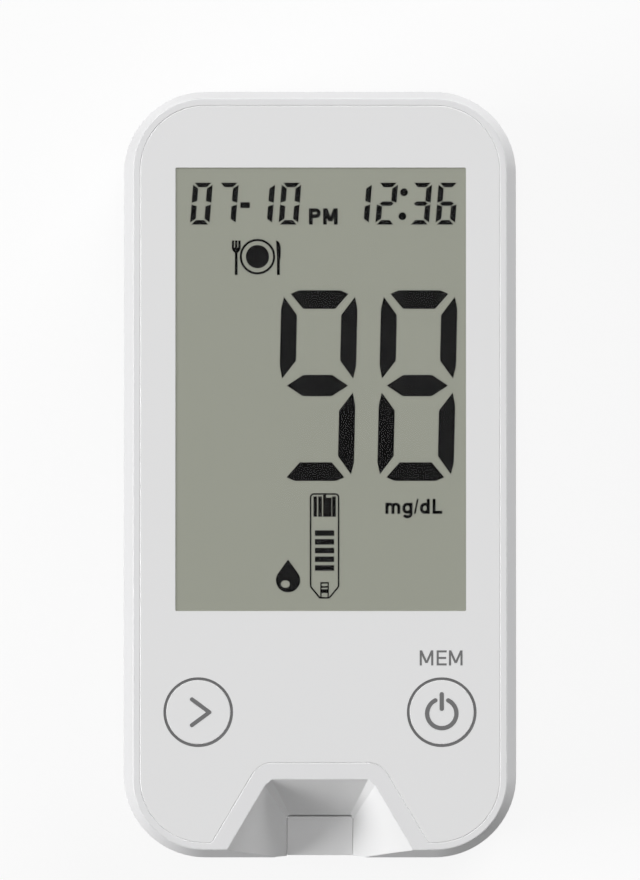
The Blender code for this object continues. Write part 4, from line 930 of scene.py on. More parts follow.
def add_node(tree, kind, values=(), **settings):
    """A node with some settings changed, and its inputs fed by name or number with values."""
    node = tree.nodes.new(kind)
    for key, value in settings.items():
        setattr(node, key, value)
    for key, value in dict(values).items():
        feed(tree, node.inputs[key], value)
    return node


def new_group(name, inputs, outputs):
    """An empty shader group with named inputs and outputs, all of them numbers but the vector."""
    group = bpy.data.node_groups.new(name, "ShaderNodeTree")
    for socket in inputs:
        kind = "NodeSocketVector" if socket == "Vector" else "NodeSocketFloat"
        group.interface.new_socket(socket, in_out="INPUT", socket_type=kind)
    for socket in outputs:
        group.interface.new_socket(socket, in_out="OUTPUT", socket_type="NodeSocketFloat")
    return group, add_node(group, "NodeGroupInput").outputs, add_node(group, "NodeGroupOutput").inputs


def noise(tree, vector, scale, detail, roughness):
    """A noise texture."""
    values = {"Vector": vector, "Scale": scale, "Detail": detail, "Roughness": roughness}
    return add_node(tree, "ShaderNodeTexNoise", values).outputs["Fac"]


def ranged(tree, value, low, high, to_low=0.0, to_high=1.0):
    """A value carried from one range to another and kept within it."""
    values = {"Value": value, "From Min": low, "From Max": high, "To Min": to_low, "To Max": to_high}
    return add_node(tree, "ShaderNodeMapRange", values).outputs["Result"]


def mixed(tree, share, first, second):
    """Two colours mixed by a share."""
    values = {MIX_SHARE: share, MIX_FIRST: first, MIX_SECOND: second}
    return add_node(tree, "ShaderNodeMix", values, data_type="RGBA").outputs[MIX_RESULT]


def blended(tree, share, first, second):
    """Two shaders mixed by a share."""
    return add_node(tree, "ShaderNodeMixShader", enumerate((share, first, second))).outputs["Shader"]


def worked(tree, operation, *values):
    """The result of a Math node."""
    return add_node(tree, "ShaderNodeMath", enumerate(values), operation=operation).outputs["Value"]


def masked(tree, mask, ramps):
    """A mask times one ramp from 0 to 1 for each (value, where it is 0, where it is 1)."""
    for value, low, high in ramps:
        mask = worked(tree, "MULTIPLY", mask, ranged(tree, value, low, high))
    return mask


def split(tree, vector):
    """The X, Y and Z of a vector."""
    return add_node(tree, "ShaderNodeSeparateXYZ", {"Vector": vector}).outputs


def object_place(tree):
    """Object coordinates, which are the meter's own in every piece."""
    return add_node(tree, "ShaderNodeTexCoord").outputs["Object"]


def relief_group(name, fine_detail, cloud_scale, cloud_roughness, stretch=None):
    """A height from a fine noise, and a slow cloud that varies tone and gloss."""
    if name in bpy.data.node_groups:
        return bpy.data.node_groups[name]
    group, entry, leave = new_group(name, ("Vector", "Fineness"), ("Height", "Cloud"))
    place = entry["Vector"]
    if stretch:
        place = add_node(group, "ShaderNodeMapping", {"Vector": place, "Scale": stretch}).outputs["Vector"]
    feed(group, leave["Height"], noise(group, place, entry["Fineness"], fine_detail, FINE_ROUGHNESS))
    cloud = noise(group, entry["Vector"], cloud_scale, CLOUD_DETAIL, cloud_roughness)
    feed(group, leave["Cloud"], cloud)
    return group


def moulded_grain():
    """Fine spark-eroded grain of a moulding."""
    return relief_group("moulded_grain", fine_detail=3.0, cloud_scale=90.0, cloud_roughness=0.55)


def brushed_lines():
    """Fine lines along X, from a noise stretched along it."""
    return relief_group(
        "brushed_lines", fine_detail=2.0, cloud_scale=400.0, cloud_roughness=0.6, stretch=(0.03, 1.0, 1.0)
    )


def case_zones():
    """Masks by place: the smooth land round the face, and the walls of the strip port, where the colour is
    painted lighter as painted light.

    The land is a range of the height just under the face. The port is a product of ranges
    of the height, of both distances in the plane, and of the distance from the leaning wall.
    """
    if "case_zones" in bpy.data.node_groups:
        return bpy.data.node_groups["case_zones"]
    group, entry, leave = new_group("case_zones", ("Vector",), ("Land", "Port"))
    x, y, z = split(group, entry["Vector"])
    feed(group, leave["Land"], ranged(group, z, FACE_TOP - LAND_DEPTH - HAIR, FACE_TOP - LAND_DEPTH))
    block_half = FLOOR_CORNER_X + FUNNEL_WALL
    reach = ranged(group, z, PARTING, PARTING + HAIR, block_half, PORT_ZONE_HALF)
    room = worked(group, "SUBTRACT", reach, worked(group, "ABSOLUTE", x))
    lean = worked(group, "MULTIPLY_ADD", z, -RIM_INSET / (FACE - FRONT_BOTTOM), y)
    wall = front_inset(0) - HALF_LENGTH + PORT_ZONE_INSET
    below_face = ranged(group, z, FACE_TOP - HAIR / 2, FACE_TOP - HAIR)
    feed(group, leave["Port"], masked(group, below_face, (
        (room, 0.0, HAIR), (y, PORT_ZONE_TOP, PORT_ZONE_TOP - HAIR),
        (z, BLOCK_BOTTOM, BLOCK_BOTTOM + HAIR), (lean, wall, wall + HAIR),
    )))
    return group


# Materials


def made_before(name):
    """The finish that an earlier piece made under this name, if there is one."""
    return next((material for material in bpy.data.materials if material.get("finish") == name), None)


def new_material(name):
    """A material that is marked with its finish, with its node tree and shader."""
    material = bpy.data.materials.new(name)
    material["finish"] = name
    material.use_nodes = True
    return material, material.node_tree, material.node_tree.nodes["Principled BSDF"]


def source_of(socket):
    """What a socket is linked to."""
    return socket.links[0].from_socket


def surface(name, base, roughness, metallic=0.0, pattern=moulded_grain, fineness=9000.0, depth=0.004 * MM,
            tone=0.03, gloss=0.08, specular=0.5):
    """A finish with fine relief, and a slow variation of tone and gloss.

    Tone is the share by which the colour darkens in the cloud, and gloss the range
    round the roughness.
    """
    if made_before(name):
        return made_before(name)
    material, tree, shader = new_material(name)
    values = {"Fineness": fineness, "Vector": object_place(tree)}
    grain = add_node(tree, "ShaderNodeGroup", values, node_tree=pattern()).outputs
    cloud = ranged(tree, grain["Cloud"], *CLOUD_RANGE)
    spread = ranged(tree, grain["Cloud"], *CLOUD_RANGE, roughness - gloss / 2, roughness + gloss / 2)
    dark = tuple(channel * (1 - tone) for channel in base)
    bump = add_node(tree, "ShaderNodeBump", {"Distance": depth, "Height": grain["Height"]})
    for socket, value in (
        ("Metallic", metallic), ("Specular IOR Level", specular), ("Roughness", spread),
        ("Base Color", mixed(tree, cloud, (*dark, 1), (*base, 1))), ("Normal", bump.outputs["Normal"]),
    ):
        feed(tree, shader.inputs[socket], value)
    material.diffuse_color = (*base, 1)
    return material


def case_plastic():
    """White satin moulding of the covers and the door, smooth at the face, and painted lighter in the port as
    painted light on its deep walls.
    """
    if made_before("case_plastic"):
        return made_before("case_plastic")
    colours = bpy.context.scene.meter_colours
    material = surface(
        "case_plastic", colours.case, CASE_ROUGHNESS, depth=0.005 * MM, tone=0.015, specular=CASE_SPECULAR
    )
    tree = material.node_tree
    shader = tree.nodes["Principled BSDF"]
    zones = add_node(tree, "ShaderNodeGroup", {"Vector": object_place(tree)}, node_tree=case_zones()).outputs
    base, rough = shader.inputs["Base Color"], shader.inputs["Roughness"]
    # Painted light: the port's walls take the lighter port colour, which brightens their shade.
    feed(tree, base, mixed(tree, zones["Port"], source_of(base), (*colours.guide, 1)))
    feed(tree, rough, ranged(tree, zones["Land"], 0.0, 1.0, source_of(rough), LAND_ROUGHNESS))
    gloss = ranged(tree, zones["Land"], 0.0, 1.0, CASE_SPECULAR, LAND_SPECULAR)
    feed(tree, shader.inputs["Specular IOR Level"], gloss)
    return material


def face_plastic():
    """Smooth white of the faceplate and the keys."""
    return surface("face_plastic", bpy.context.scene.meter_colours.face, FACE_ROUGHNESS, fineness=14000.0,
                   depth=0.001 * MM, tone=0.004, gloss=0.008)


def guide_plastic():
    """Satin floor of the strip port, painted lighter than the case as painted light."""
    return surface("guide_plastic", bpy.context.scene.meter_colours.guide, roughness=0.4,
                   depth=0.003 * MM)


def print_ink():
    """Grey printing ink."""
    return surface("print_ink", bpy.context.scene.meter_colours.ink, roughness=0.5, fineness=20000.0,
                   depth=0.002 * MM, tone=0.06)


def segment_black():
    """Black of the display's switched-on segments."""
    return surface("segment_black", bpy.context.scene.meter_colours.segment, roughness=0.6, fineness=30000.0,
                   depth=0.001 * MM, tone=0.2, specular=0.0)


def display_film():
    """Grey green film with a fine fibrous tone, as a reflective display has."""
    return surface("display_film", bpy.context.scene.meter_colours.film, roughness=0.5, fineness=40000.0,
                   depth=0.001 * MM, tone=0.02, specular=0.1)


def nickel():
    """Nickel-plated strip of the battery contacts."""
    return surface("nickel", NICKEL, roughness=0.28, metallic=1.0, pattern=brushed_lines, depth=0.002 * MM,
                   tone=0.12, gloss=0.1)


def cell_steel():
    """Drawn and tumbled steel of the coin cells."""
    return surface("cell_steel", DRAWN_STEEL, roughness=0.34, metallic=1.0, fineness=3000.0,
                   depth=0.0008 * MM, gloss=0.04)


def zinc_steel():
    """Zinc-plated steel of the screws and the crystal's can."""
    return surface("zinc_steel", ZINC, roughness=0.32, metallic=1.0, fineness=5000.0, depth=0.003 * MM,
                   tone=0.12, gloss=0.12)


def gold_plating():
    """Gold-plated spring strip."""
    return surface("gold_plating", GOLD, roughness=0.26, metallic=1.0, pattern=brushed_lines,
                   fineness=12000.0, depth=0.001 * MM, tone=0.1)


def grey_rubber():
    """Matt silicone rubber of the domes."""
    return surface("grey_rubber", RUBBER_GREY, roughness=0.72, fineness=6000.0, depth=0.006 * MM, tone=0.12)


def chip_epoxy():
    """Black moulded epoxy."""
    return surface("chip_epoxy", EPOXY_BLACK, roughness=0.55, fineness=12000.0, depth=0.006 * MM, tone=0.25)


def connector_plastic():
    """Black moulding of the strip connector."""
    return surface("connector_plastic", CONNECTOR_BLACK, roughness=0.5, fineness=8000.0,
                   depth=0.003 * MM, tone=0.2)


def frame_plastic():
    """White moulding round the display glass."""
    return surface("frame_plastic", FRAME_WHITE, roughness=0.5, fineness=8000.0)


def clear_acrylic(name, roughness):
    """Clear moulding: glass to the camera, and clear air to light on its way to what lies under it."""
    if made_before(name):
        return made_before(name)
    material, tree, shader = new_material(name)
    smudge = noise(tree, object_place(tree), scale=120.0, detail=4.0, roughness=0.6)
    rough = ranged(tree, smudge, *SMUDGE_RANGE, roughness, roughness + SMUDGE_ROUGHNESS)
    for socket, value in (
        ("Base Color", (1, 1, 1, 1)), ("Transmission Weight", 1.0), ("IOR", CLEAR_IOR), ("Roughness", rough),
    ):
        feed(tree, shader.inputs[socket], value)
    rays = add_node(tree, "ShaderNodeLightPath").outputs
    seen = worked(tree, "MAXIMUM", rays["Is Camera Ray"], rays["Is Transmission Ray"])
    air = add_node(tree, "ShaderNodeBsdfTransparent").outputs["BSDF"]
    shown = blended(tree, seen, air, shader.outputs["BSDF"])
    feed(tree, tree.nodes["Material Output"].inputs["Surface"], shown)
    return material


def display_glass():
    """Clear glass of the display."""
    return clear_acrylic("display_glass", 0.02)


def circuit_board():
    """Green solder mask over copper tracks: tracks are the edges of stretched square cells."""
    if made_before("circuit_board"):
        return made_before("circuit_board")
    green = bpy.context.scene.meter_colours.board
    material = surface("circuit_board", green, roughness=0.35, fineness=4000.0, tone=0.15)
    tree = material.node_tree
    base = tree.nodes["Principled BSDF"].inputs["Base Color"]
    values = {"Scale": TRACK_SCALE, "Vector": object_place(tree)}
    cells = add_node(tree, "ShaderNodeTexVoronoi", values, feature="F1", distance="CHEBYCHEV")
    track = ranged(tree, cells.outputs["Distance"], *TRACK_EDGE)
    pale = (*(min(1.0, channel * TRACK_BRIGHTER + TRACK_PALER) for channel in green), 1)
    feed(tree, base, mixed(tree, track, source_of(base), pale))
    return material


# Outlines and walls of the case


def case_outline():
    """The widest outline of the case."""
    return rectangle(HALF_WIDTH, -HALF_LENGTH, HALF_LENGTH, CORNER_RADIUS, CORNER_STEPS)


def front_section(rim_radius):
    """The front cover's outer wall: a small edge, a straight lean inward, and the rim's edge.

    The rim's quarter circle starts where its slope equals the lean's.
    """
    lean = math.atan2(RIM_INSET, FACE_TOP - rim_radius - FRONT_BOTTOM)
    rest = np.linspace(lean, math.pi / 2, EDGE_STEPS + 1)
    rim = np.column_stack([
        RIM_INSET + rim_radius * (1 - np.cos(rest)), FACE_TOP - rim_radius * (1 - np.sin(rest)),
    ])
    return np.concatenate([rounded_foot(0, FRONT_BOTTOM, MOULD_EDGE, inward=1), rim])


def front_inset(height):
    """How far the leaning front wall stands in at a height."""
    return RIM_INSET * (height - FRONT_BOTTOM) / (FACE - FRONT_BOTTOM)


def rear_section(bottom=0.0, extra=0.0):
    """The rear cover's outer wall: a quarter circle from the back, then a straight lean outward.

    Above a bottom, it starts with the circle's own point at that height.
    """
    wall = rounded_foot(REAR_LEAN + extra, 0, BACK_EDGE_RADIUS, inward=1, steps=BACK_STEPS)
    wall = wall[wall[:, 1] >= bottom]
    if bottom > 0:
        drop = BACK_EDGE_RADIUS - bottom
        first = REAR_LEAN + BACK_EDGE_RADIUS - math.sqrt(BACK_EDGE_RADIUS ** 2 - drop ** 2) + extra
        wall = np.concatenate([[(first, bottom)], wall])
    return wall


def port_corners(height):
    """Corners of the strip port at a height: its three half corners move evenly from floor to mouth."""
    share = max(0.0, (height - PORT_FLOOR) / PORT_DEPTH)
    corner_x = FLOOR_CORNER_X + share * (MOUTH_CORNER_X - FLOOR_CORNER_X)
    chamfer_x = FLOOR_CHAMFER[0] + share * (MOUTH_CHAMFER[0] - FLOOR_CHAMFER[0])
    chamfer_y = FLOOR_CHAMFER[1] + share * (MOUTH_CHAMFER[1] - FLOOR_CHAMFER[1])
    back_y = FUNNEL_BACK_Y + share * (MOUTH_LENGTH - FLOOR_LENGTH)
    corner_y = back_y - chamfer_y
    end_y = -HALF_LENGTH - OVERRUN
    end_x = corner_x + share * MOUTH_FLARE_SHARE * (corner_y - end_y)
    half = np.array([(end_x, end_y), (corner_x, corner_y), (corner_x - chamfer_x, back_y)])
    return np.concatenate([half, half[::-1] * (-1, 1)])


def port_ring(height, grow=0.0):
    """The port's outline at a height, with its corners rounded."""
    return level(filleted(parallel(port_corners(height), grow), FUNNEL_CORNER + max(grow, 0.0)), height)


def port_space(edge):
    """The space of the funnel, whose mouth flares out in a quarter circle at the face."""
    heights = np.linspace(PORT_FLOOR, FACE_TOP - edge, FUNNEL_STEPS + 1)
    flare = rounded_head(0, FACE_TOP, edge, inward=1)[1:]
    rings = [port_ring(BLOCK_BOTTOM - OVERRUN)]
    rings += [port_ring(height) for height in heights]
    rings += [port_ring(height, grow) for grow, height in flare]
    rings += [level(rings[-1][:, :2], FACE + OVERRUN)]
    return loft(rings)


def faceplate_outline(inset):
    """The faceplate's edge at a distance in from the widest outline, stepped round the port."""
    half_width, half_length = HALF_WIDTH - inset, HALF_LENGTH - inset
    base_inset = HALF_WIDTH - PLATE_HIGH.x
    corner_y = MOUTH_LENGTH - HALF_LENGTH - MOUTH_CHAMFER[1]
    margin = NOTCH_MARGIN + inset - base_inset
    top_y = MOUTH_LENGTH - HALF_LENGTH + margin
    start_x = MOUTH_CORNER_X + margin * math.hypot(1, MOUTH_FLARE_SHARE)
    top_x = start_x + MOUTH_FLARE_SHARE * (corner_y - top_y)
    end_x = start_x + MOUTH_FLARE_SHARE * (corner_y + half_length)
    half = np.array([(end_x, -half_length), (half_width, -half_length), (half_width, half_length)])
    corners = np.concatenate([half, half[::-1] * (-1, 1), [(-top_x, top_y), (top_x, top_y)]])
    corner, notch = CORNER_RADIUS - inset, NOTCH_RADIUS + base_inset - inset
    toe = NOTCH_TOE_RADIUS + inset - base_inset
    radii = (toe, corner, corner, corner, corner, toe, notch, notch)
    return filleted(corners, radii, CORNER_STEPS)


def faceplate_form(section):
    """The faceplate's outline at each (distance in, height) of a section."""
    return loft([level(faceplate_outline(inset), height) for inset, height in section])


def window_outline(gap):
    """The outline of the window, larger than the lens by a gap."""
    low, high = LENS_LOW.y - gap, LENS_HIGH.y + gap + WINDOW_RAISE
    return rectangle(LENS_HIGH.x + gap, low, high, WINDOW_CORNER) + (WINDOW_SHIFT, 0)


def display_top(context):
    """Height of the picture under the lens."""
    edges, marks = context.scene.meter_edges, context.scene.meter_print
    return FACE_TOP - edges.lens_thickness - marks.segment_height


# Signs of the display


def date_and_time():
    """Date and time in small figures, with a dash and a colon."""
    shapes = spelled([
        (figure(SMALL_DIGIT, name), left + number * SMALL_PITCH)
        for figures, left in FIGURE_PAIRS.items() for number, name in enumerate(figures)
    ], SMALL_BASE)
    dots = [circle(dot, COLON_DOT_RADIUS, SMALL_STEPS) for dot in COLON_DOTS]
    return [*shapes, bar(*DASH_LOW, *DASH_HIGH), *dots]


def value_figures():
    """The measured value in large figures."""
    return spelled([
        (figure(LARGE_DIGIT, "9"), LARGE_X - LARGE_PITCH), (figure(LARGE_DIGIT, "8"), LARGE_X),
    ], LARGE_BASE)


def afternoon():
    """The letters for the afternoon, between date and time."""
    cap, line = AFTERNOON_CAP, AFTERNOON_LINE
    return spelled([
        (capital_p(AFTERNOON_P_WIDTH, cap, line, cap * AFTERNOON_BOWL), AFTERNOON_P_X),
        (capital_m(AFTERNOON_M_WIDTH, cap, line, cap * AFTERNOON_DIP), AFTERNOON_M_X),
    ], SMALL_BASE)


def unit_letters():
    """The unit of the value, milligrams per decilitre."""
    wide, cap, high, line = UNIT_WIDTHS, UNIT_CAP, UNIT_HIGH, UNIT_LINE
    letters = {
        "m": small_m(wide["m"], high, line), "g": small_g(wide["g"], high, UNIT_DROP, line),
        "slash": slash(wide["slash"], cap, UNIT_SLASH_LINE), "d": small_d(wide["d"], high, cap, line),
        "l": capital_l(wide["l"], cap, line),
    }
    return spelled([(letters[name], x) for name, x in UNIT_PLACES.items()], UNIT_BASE)


def meal_sign():
    """A plate between a fork and a knife."""
    top, bottom = 27.16 * MM, 23.15 * MM
    plate, plate_radius, plate_line, disc_radius = (-7.28 * MM, 25.28 * MM), 1.94 * MM, 0.26 * MM, 1.35 * MM
    fork_x, fork_half, tine, tine_length = -9.75 * MM, 0.51 * MM, 0.27 * MM, 1 * MM
    bulb_y, bulb_height, stem_half, stem_top = top - 0.82 * MM, 0.62 * MM, 0.16 * MM, top - 1.2 * MM
    knife_x, bend_width, bend_height, blade_foot = -5.12 * MM, 0.56 * MM, 1 * MM, top - 2.1 * MM
    blade_left, blade_right = knife_x + 0.12 * MM, knife_x + 0.52 * MM
    handle_left, handle_right, handle_top = knife_x + 0.11 * MM, knife_x + 0.45 * MM, top - 2 * MM
    tines = [
        bar(fork_x + shift - tine / 2, top - tine_length, fork_x + shift + tine / 2, top)
        for shift in (tine / 2 - fork_half, 0, fork_half - tine / 2)
    ]
    bulb = oval((fork_x, bulb_y), fork_half, bulb_height, 180, 360)
    stem = bar(fork_x - stem_half, bottom, fork_x + stem_half, stem_top)
    bend = oval((knife_x, top - bend_height), bend_width, bend_height, 90, 0)
    blade = np.concatenate([bend, [(blade_right, blade_foot), (blade_left, blade_foot)]])
    handle = bar(handle_left, bottom, handle_right, handle_top)
    rim = ring_of(plate, plate_radius, plate_radius, plate_line)
    return [*rim, circle(plate, disc_radius), *tines, bulb, stem, blade, handle]


def drop_sign():
    """A drop: a circle and the two tangents from its tip."""
    x, y, radius, reach = -3.715 * MM, -12.36 * MM, 1.41 * MM, 2.4 * MM
    touch = math.degrees(math.acos(radius / reach))
    return [[*arc((x, y), radius, 90 + touch, 450 - touch), (x, y + reach)]]


def drop_light():
    """The light patch in the drop."""
    centre, half_width, half_height = (-4.02 * MM, -12.81 * MM), 0.52 * MM, 0.44 * MM
    return [oval(centre, half_width, half_height)[:-1]]


def strip_sign():
    """A test strip: its outline, contacts, five bars and a boxed end."""
    x, line = 0.53 * MM, 0.18 * MM
    half, top, waist, foot, foot_half = 1.63 * MM, -2.34 * MM, -13.10 * MM, -14.41 * MM, 0.55 * MM
    waist_corner, foot_corner, top_corner = 0.3 * MM, 0.2 * MM, 0.4 * MM
    contact_top, contact_foot = -2.62 * MM, -4.98 * MM
    bar_first, bar_pitch, bar_half, bar_half_height = -6.89 * MM, 1.012 * MM, 1.12 * MM, 0.32 * MM
    post_x, post_half, post_foot, post_top = 0.42 * MM, 0.075 * MM, -14.33 * MM, -12.58 * MM
    rung_half = 0.49 * MM
    corners = (
        (-half, waist), (-foot_half, foot), (foot_half, foot), (half, waist), (half, top), (-half, top),
    )
    radii = (waist_corner, foot_corner, foot_corner, waist_corner, top_corner, top_corner)
    edge = filleted(corners, radii) + (x, 0)
    middle = len(edge) // 2
    shapes = [stroke(edge[:middle + 1], line), stroke(np.concatenate([edge[middle:], edge[:1]]), line)]
    for left, right, drop in STRIP_CONTACTS:
        shapes.append(bar(left * MM, contact_foot, right * MM, contact_top - drop * MM))
    for number in range(STRIP_BARS):
        y = bar_first - number * bar_pitch
        shapes.append(bar(x - bar_half, y - bar_half_height, x + bar_half, y + bar_half_height))
    for post in (x - post_x, x + post_x):
        shapes.append(bar(post - post_half, post_foot, post + post_half, post_top))
    for low, high in STRIP_RUNGS:
        shapes.append(bar(x - rung_half, low * MM, x + rung_half, high * MM))
    return shapes


# Forms of the back


def hooks(side_gap, low_y, high_y, bottom, top):
    """The two blocks of the door's hooks or of the slots round them."""
    half = HOOK_HALF_WIDTH + side_gap
    return blocks(*[
        ((side * HOOK_X - half, low_y, bottom), (side * HOOK_X + half, high_y, top)) for side in (-1, 1)
    ])


def contact_slots():
    """Slots beside and over each cell, through which the contacts reach the board."""
    slots = []
    for number in (1, 2):
        low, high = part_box(f"negative_contact_{number}")
        slots.append((
            (low.x - GAP, high.y - SIDE_GAP - GAP, POCKET_TOP - SINK),
            (high.x + GAP, high.y + GAP, WELL_TOP + OVERRUN),
        ))
        low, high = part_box(f"positive_contact_{number}")
        slots.append((
            (CELL_RADIUS - OVERRUN, low.y - GAP, RECESS_TOP - SINK),
            (POCKET_RADIUS + BLADE_ROOM, high.y + GAP, WELL_TOP + OVERRUN),
        ))
    return blocks(*slots)


def screw_form(place):
    """A screw: a round head, then a shank whose radius swings with height and turn.

    On the shank the radius is the core plus the thread's depth times a triangle wave of
    height over pitch less the share of a turn, fading out at both ends. The last stretch
    narrows to a blunt point.
    """
    head_top, tip = SCREW_LOW.z + SCREW_HEAD_HEIGHT, SCREW_HIGH.z
    head = rounded_foot(SCREW_HEAD_RADIUS, SCREW_LOW.z, SCREW_HEAD_EDGE)
    rings = [level(circle(place, radius, SMALL_STEPS), height) for radius, height in head]
    rings.append(level(circle(place, SCREW_HEAD_RADIUS, SMALL_STEPS), head_top))
    turns = np.linspace(0, 1, SMALL_STEPS, endpoint=False)
    heights = np.linspace(head_top, tip, THREAD_TURNS * THREAD_STEPS + 1)
    share = (heights[:, None] - head_top) / (tip - head_top)
    wave = np.abs(2 * ((share * THREAD_TURNS - turns) % 1) - 1)
    fade = np.clip(np.minimum(share, 1 - share) / THREAD_FADE_SHARE, 0, 1)
    radius = (SCREW_SHANK_RADIUS - THREAD_DEPTH) + THREAD_DEPTH * wave * fade
    radius *= np.clip((1 - share) / SHANK_POINT_SHARE, SHANK_POINT_RADIUS, 1)
    spokes = np.stack([np.cos(2 * math.pi * turns), np.sin(2 * math.pi * turns)], axis=-1)
    shank = np.asarray(place) + radius[..., None] * spokes
    rings += [level(ring, height) for ring, height in zip(shank, heights)]
    return loft(rings)


def cross_recess(place):
    """Cutters of the two arms of a cross recess, each narrower at its bottom."""
    low = SCREW_LOW.z
    section = ((1.0, low - OVERRUN), (1.0, low), (CROSS_TAPER, low + CROSS_DEPTH))
    arm = (CROSS_HALF_LENGTH, CROSS_HALF_WIDTH)
    return [
        loft([
            level(rectangle(half_x * share, -half_y * share, half_y * share) + place, height)
            for share, height in section
        ])
        for half_x, half_y in (arm, arm[::-1])
    ]


# Operators


class MeterOperator:
    """What all the operators of the meter share."""

    bl_options = {"REGISTER", "UNDO"}


class METER_OT_front_cover(MeterOperator, Operator):
    """Rim round the face, with its deck, screw bosses and strip port"""

    bl_idname = "meter.front_cover"
    bl_label = "Front cover"

    def execute(self, context):
        edges = context.scene.meter_edges
        outline = case_outline()
        body = loft(risen(outline, front_section(edges.rim_radius)))
        low, high = FRONT_BOTTOM - OVERRUN, DECK_BOTTOM
        hollow = loft(risen(outline, [(WALL, low), (WALL, FRONT_BOTTOM), (WALL + front_inset(high), high)]))
        rebate = prism(parallel(outline, -REBATE_INSET), low, PARTING + LIP_HEIGHT + GAP)
        bosses = rods(SCREW_PLACES, FRONT_BOSS_RADIUS, REAR_BOSS_TOP + GAP, DECK_BOTTOM + SINK)
        block_heights = [BLOCK_BOTTOM, *np.linspace(PORT_FLOOR, DECK_BOTTOM + SINK, FUNNEL_STEPS)]
        block = loft([port_ring(height, FUNNEL_WALL) for height in block_heights])
        end = parallel(outline, -BLOCK_INSET)
        trim = loft(risen(end, [(0, BLOCK_BOTTOM - OVERRUN), (0, FRONT_BOTTOM), (front_inset(FACE), FACE)]))
        block_mesh = carved("port_block", block, ("INTERSECT", trim))
        seam = edges.seam_inset - edges.seam_gap / 2
        bevel = seam - edges.seam_chamfer
        pocket = faceplate_form([
            (seam, DECK_TOP), (seam, FACE_TOP - edges.seam_depth), (bevel, FACE_TOP), (bevel, FACE + OVERRUN),
        ])
        glass_low, glass_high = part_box("lcd_front_glass")
        deck = (DECK_BOTTOM - OVERRUN, DECK_TOP + OVERRUN)
        display = prism(rectangle(glass_high.x + GAP, glass_low.y - GAP, glass_high.y + GAP), *deck)
        key_holes = rods(KEY_PLACES.values(), DECK_HOLE_RADIUS, *deck, ROUND_STEPS)
        slot = prism(
            rectangle(GUIDE_HIGH.x + CLOSE_GAP, GUIDE_STEP_Y, CONNECTOR_LOW.y + OVERRUN),
            BLOCK_BOTTOM - OVERRUN, PORT_FLOOR + SLOT_ABOVE_FLOOR,
        )
        screw_holes = rods(
            SCREW_PLACES, SCREW_SHANK_RADIUS + CLOSE_GAP, REAR_BOSS_TOP, SCREW_HIGH.z + 2 * OVERRUN
        )
        mesh = carved(
            "rim_shell", body, *cut(hollow, rebate), *join(bosses, form_of(block_mesh)),
            *cut(pocket, display, key_holes, port_space(edges.funnel_edge), slot, screw_holes),
        )
        finished("rim_shell", mesh, case_plastic(), "case", ["front_cover"])
        return {"FINISHED"}


class METER_OT_faceplate(MeterOperator, Operator):
    """White plate with the window and the key holes"""

    bl_idname = "meter.faceplate"
    bl_label = "Faceplate"

    def execute(self, context):
        edges = context.scene.meter_edges
        seam = edges.seam_inset + edges.seam_gap / 2
        plate = faceplate_form([
            (seam, PLATE_LOW.z), (seam, FACE_TOP - edges.seam_depth), (seam + edges.seam_chamfer, FACE_TOP),
        ])
        through = (PLATE_LOW.z - OVERRUN, FACE + OVERRUN)
        window = prism(window_outline(CLOSE_GAP), *through)
        holes = rods(KEY_PLACES.values(), KEY_HOLE_RADIUS, *through, ROUND_STEPS)
        mesh = carved("face_panel", plate, *cut(window, holes))
        finished("face_panel", mesh, face_plastic(), "case", ["faceplate"])
        return {"FINISHED"}


class METER_OT_keys(MeterOperator, Operator):
    """Two round keys with grey rings that fill the gaps round them, as print and as painted shade of the gaps
    """

    bl_idname = "meter.keys"
    bl_label = "Keys"

    def execute(self, context):
        edges, marks = context.scene.meter_edges, context.scene.meter_print
        radius = KEY_HOLE_RADIUS - marks.ring_width - 2 * HAIR
        flange_top = DECK_BOTTOM - GAP
        flange_low = flange_top - FLANGE_THICKNESS
        profile = np.concatenate([
            [(STEM_RADIUS, RIGHT_KEY_LOW.z), (STEM_RADIUS, flange_low), (FLANGE_RADIUS, flange_low),
             (FLANGE_RADIUS, flange_top), (radius, flange_top)],
            rounded_head(radius, FACE_TOP, edges.key_edge),
        ])
        # The ring fills the gap between key and hole: a grey print line, and painted shade of the gap.
        inner, outer = radius + HAIR, KEY_HOLE_RADIUS - HAIR
        low, high = PLATE_LOW.z, FACE_TOP - marks.ring_width / 4
        ring_and_gap_shade_profile = ((inner, low), (outer, low), (outer, high), (inner, high))
        for side, place in KEY_PLACES.items():
            body = f"{side}_button"
            finished(f"{side}_key", turned(place, profile), face_plastic(), body, [body])
            ring = turned(place, ring_and_gap_shade_profile, closed=True)
            finished(f"{side}_key_ring", ring, print_ink(), "case")
        return {"FINISHED"}


class METER_OT_domes(MeterOperator, Operator):
    """Soft domes that spring the keys back, hollow from below, flattened by their keys"""

    bl_idname = "meter.domes"
    bl_label = "Domes"

    def execute(self, context):
        low, high = DOME_LOW.z, DOME_HIGH.z
        shoulder, crown_low = low + DOME_SKIRT, high - DOME_CROWN_HEIGHT
        hollow = (DOME_CROWN_RADIUS - DOME_WALL, crown_low - DOME_WALL / 2)
        profile = np.concatenate([
            [hollow, (DOME_RADIUS - 2 * DOME_WALL, low), (DOME_RADIUS, low)],
            rounded_head(DOME_RADIUS, shoulder, DOME_EDGE),
            [(DOME_RADIUS - DOME_WALL, shoulder), (DOME_CROWN_RADIUS, crown_low)],
            rounded_head(DOME_CROWN_RADIUS, high, DOME_EDGE),
        ])
        for side, place in KEY_PLACES.items():
            dome = finished(f"{side}_rubber_dome", turned(place, profile), grey_rubber(), "case",
                            [f"{side}_dome"], flat_faces=False)
            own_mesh(dome)
        return {"FINISHED"}


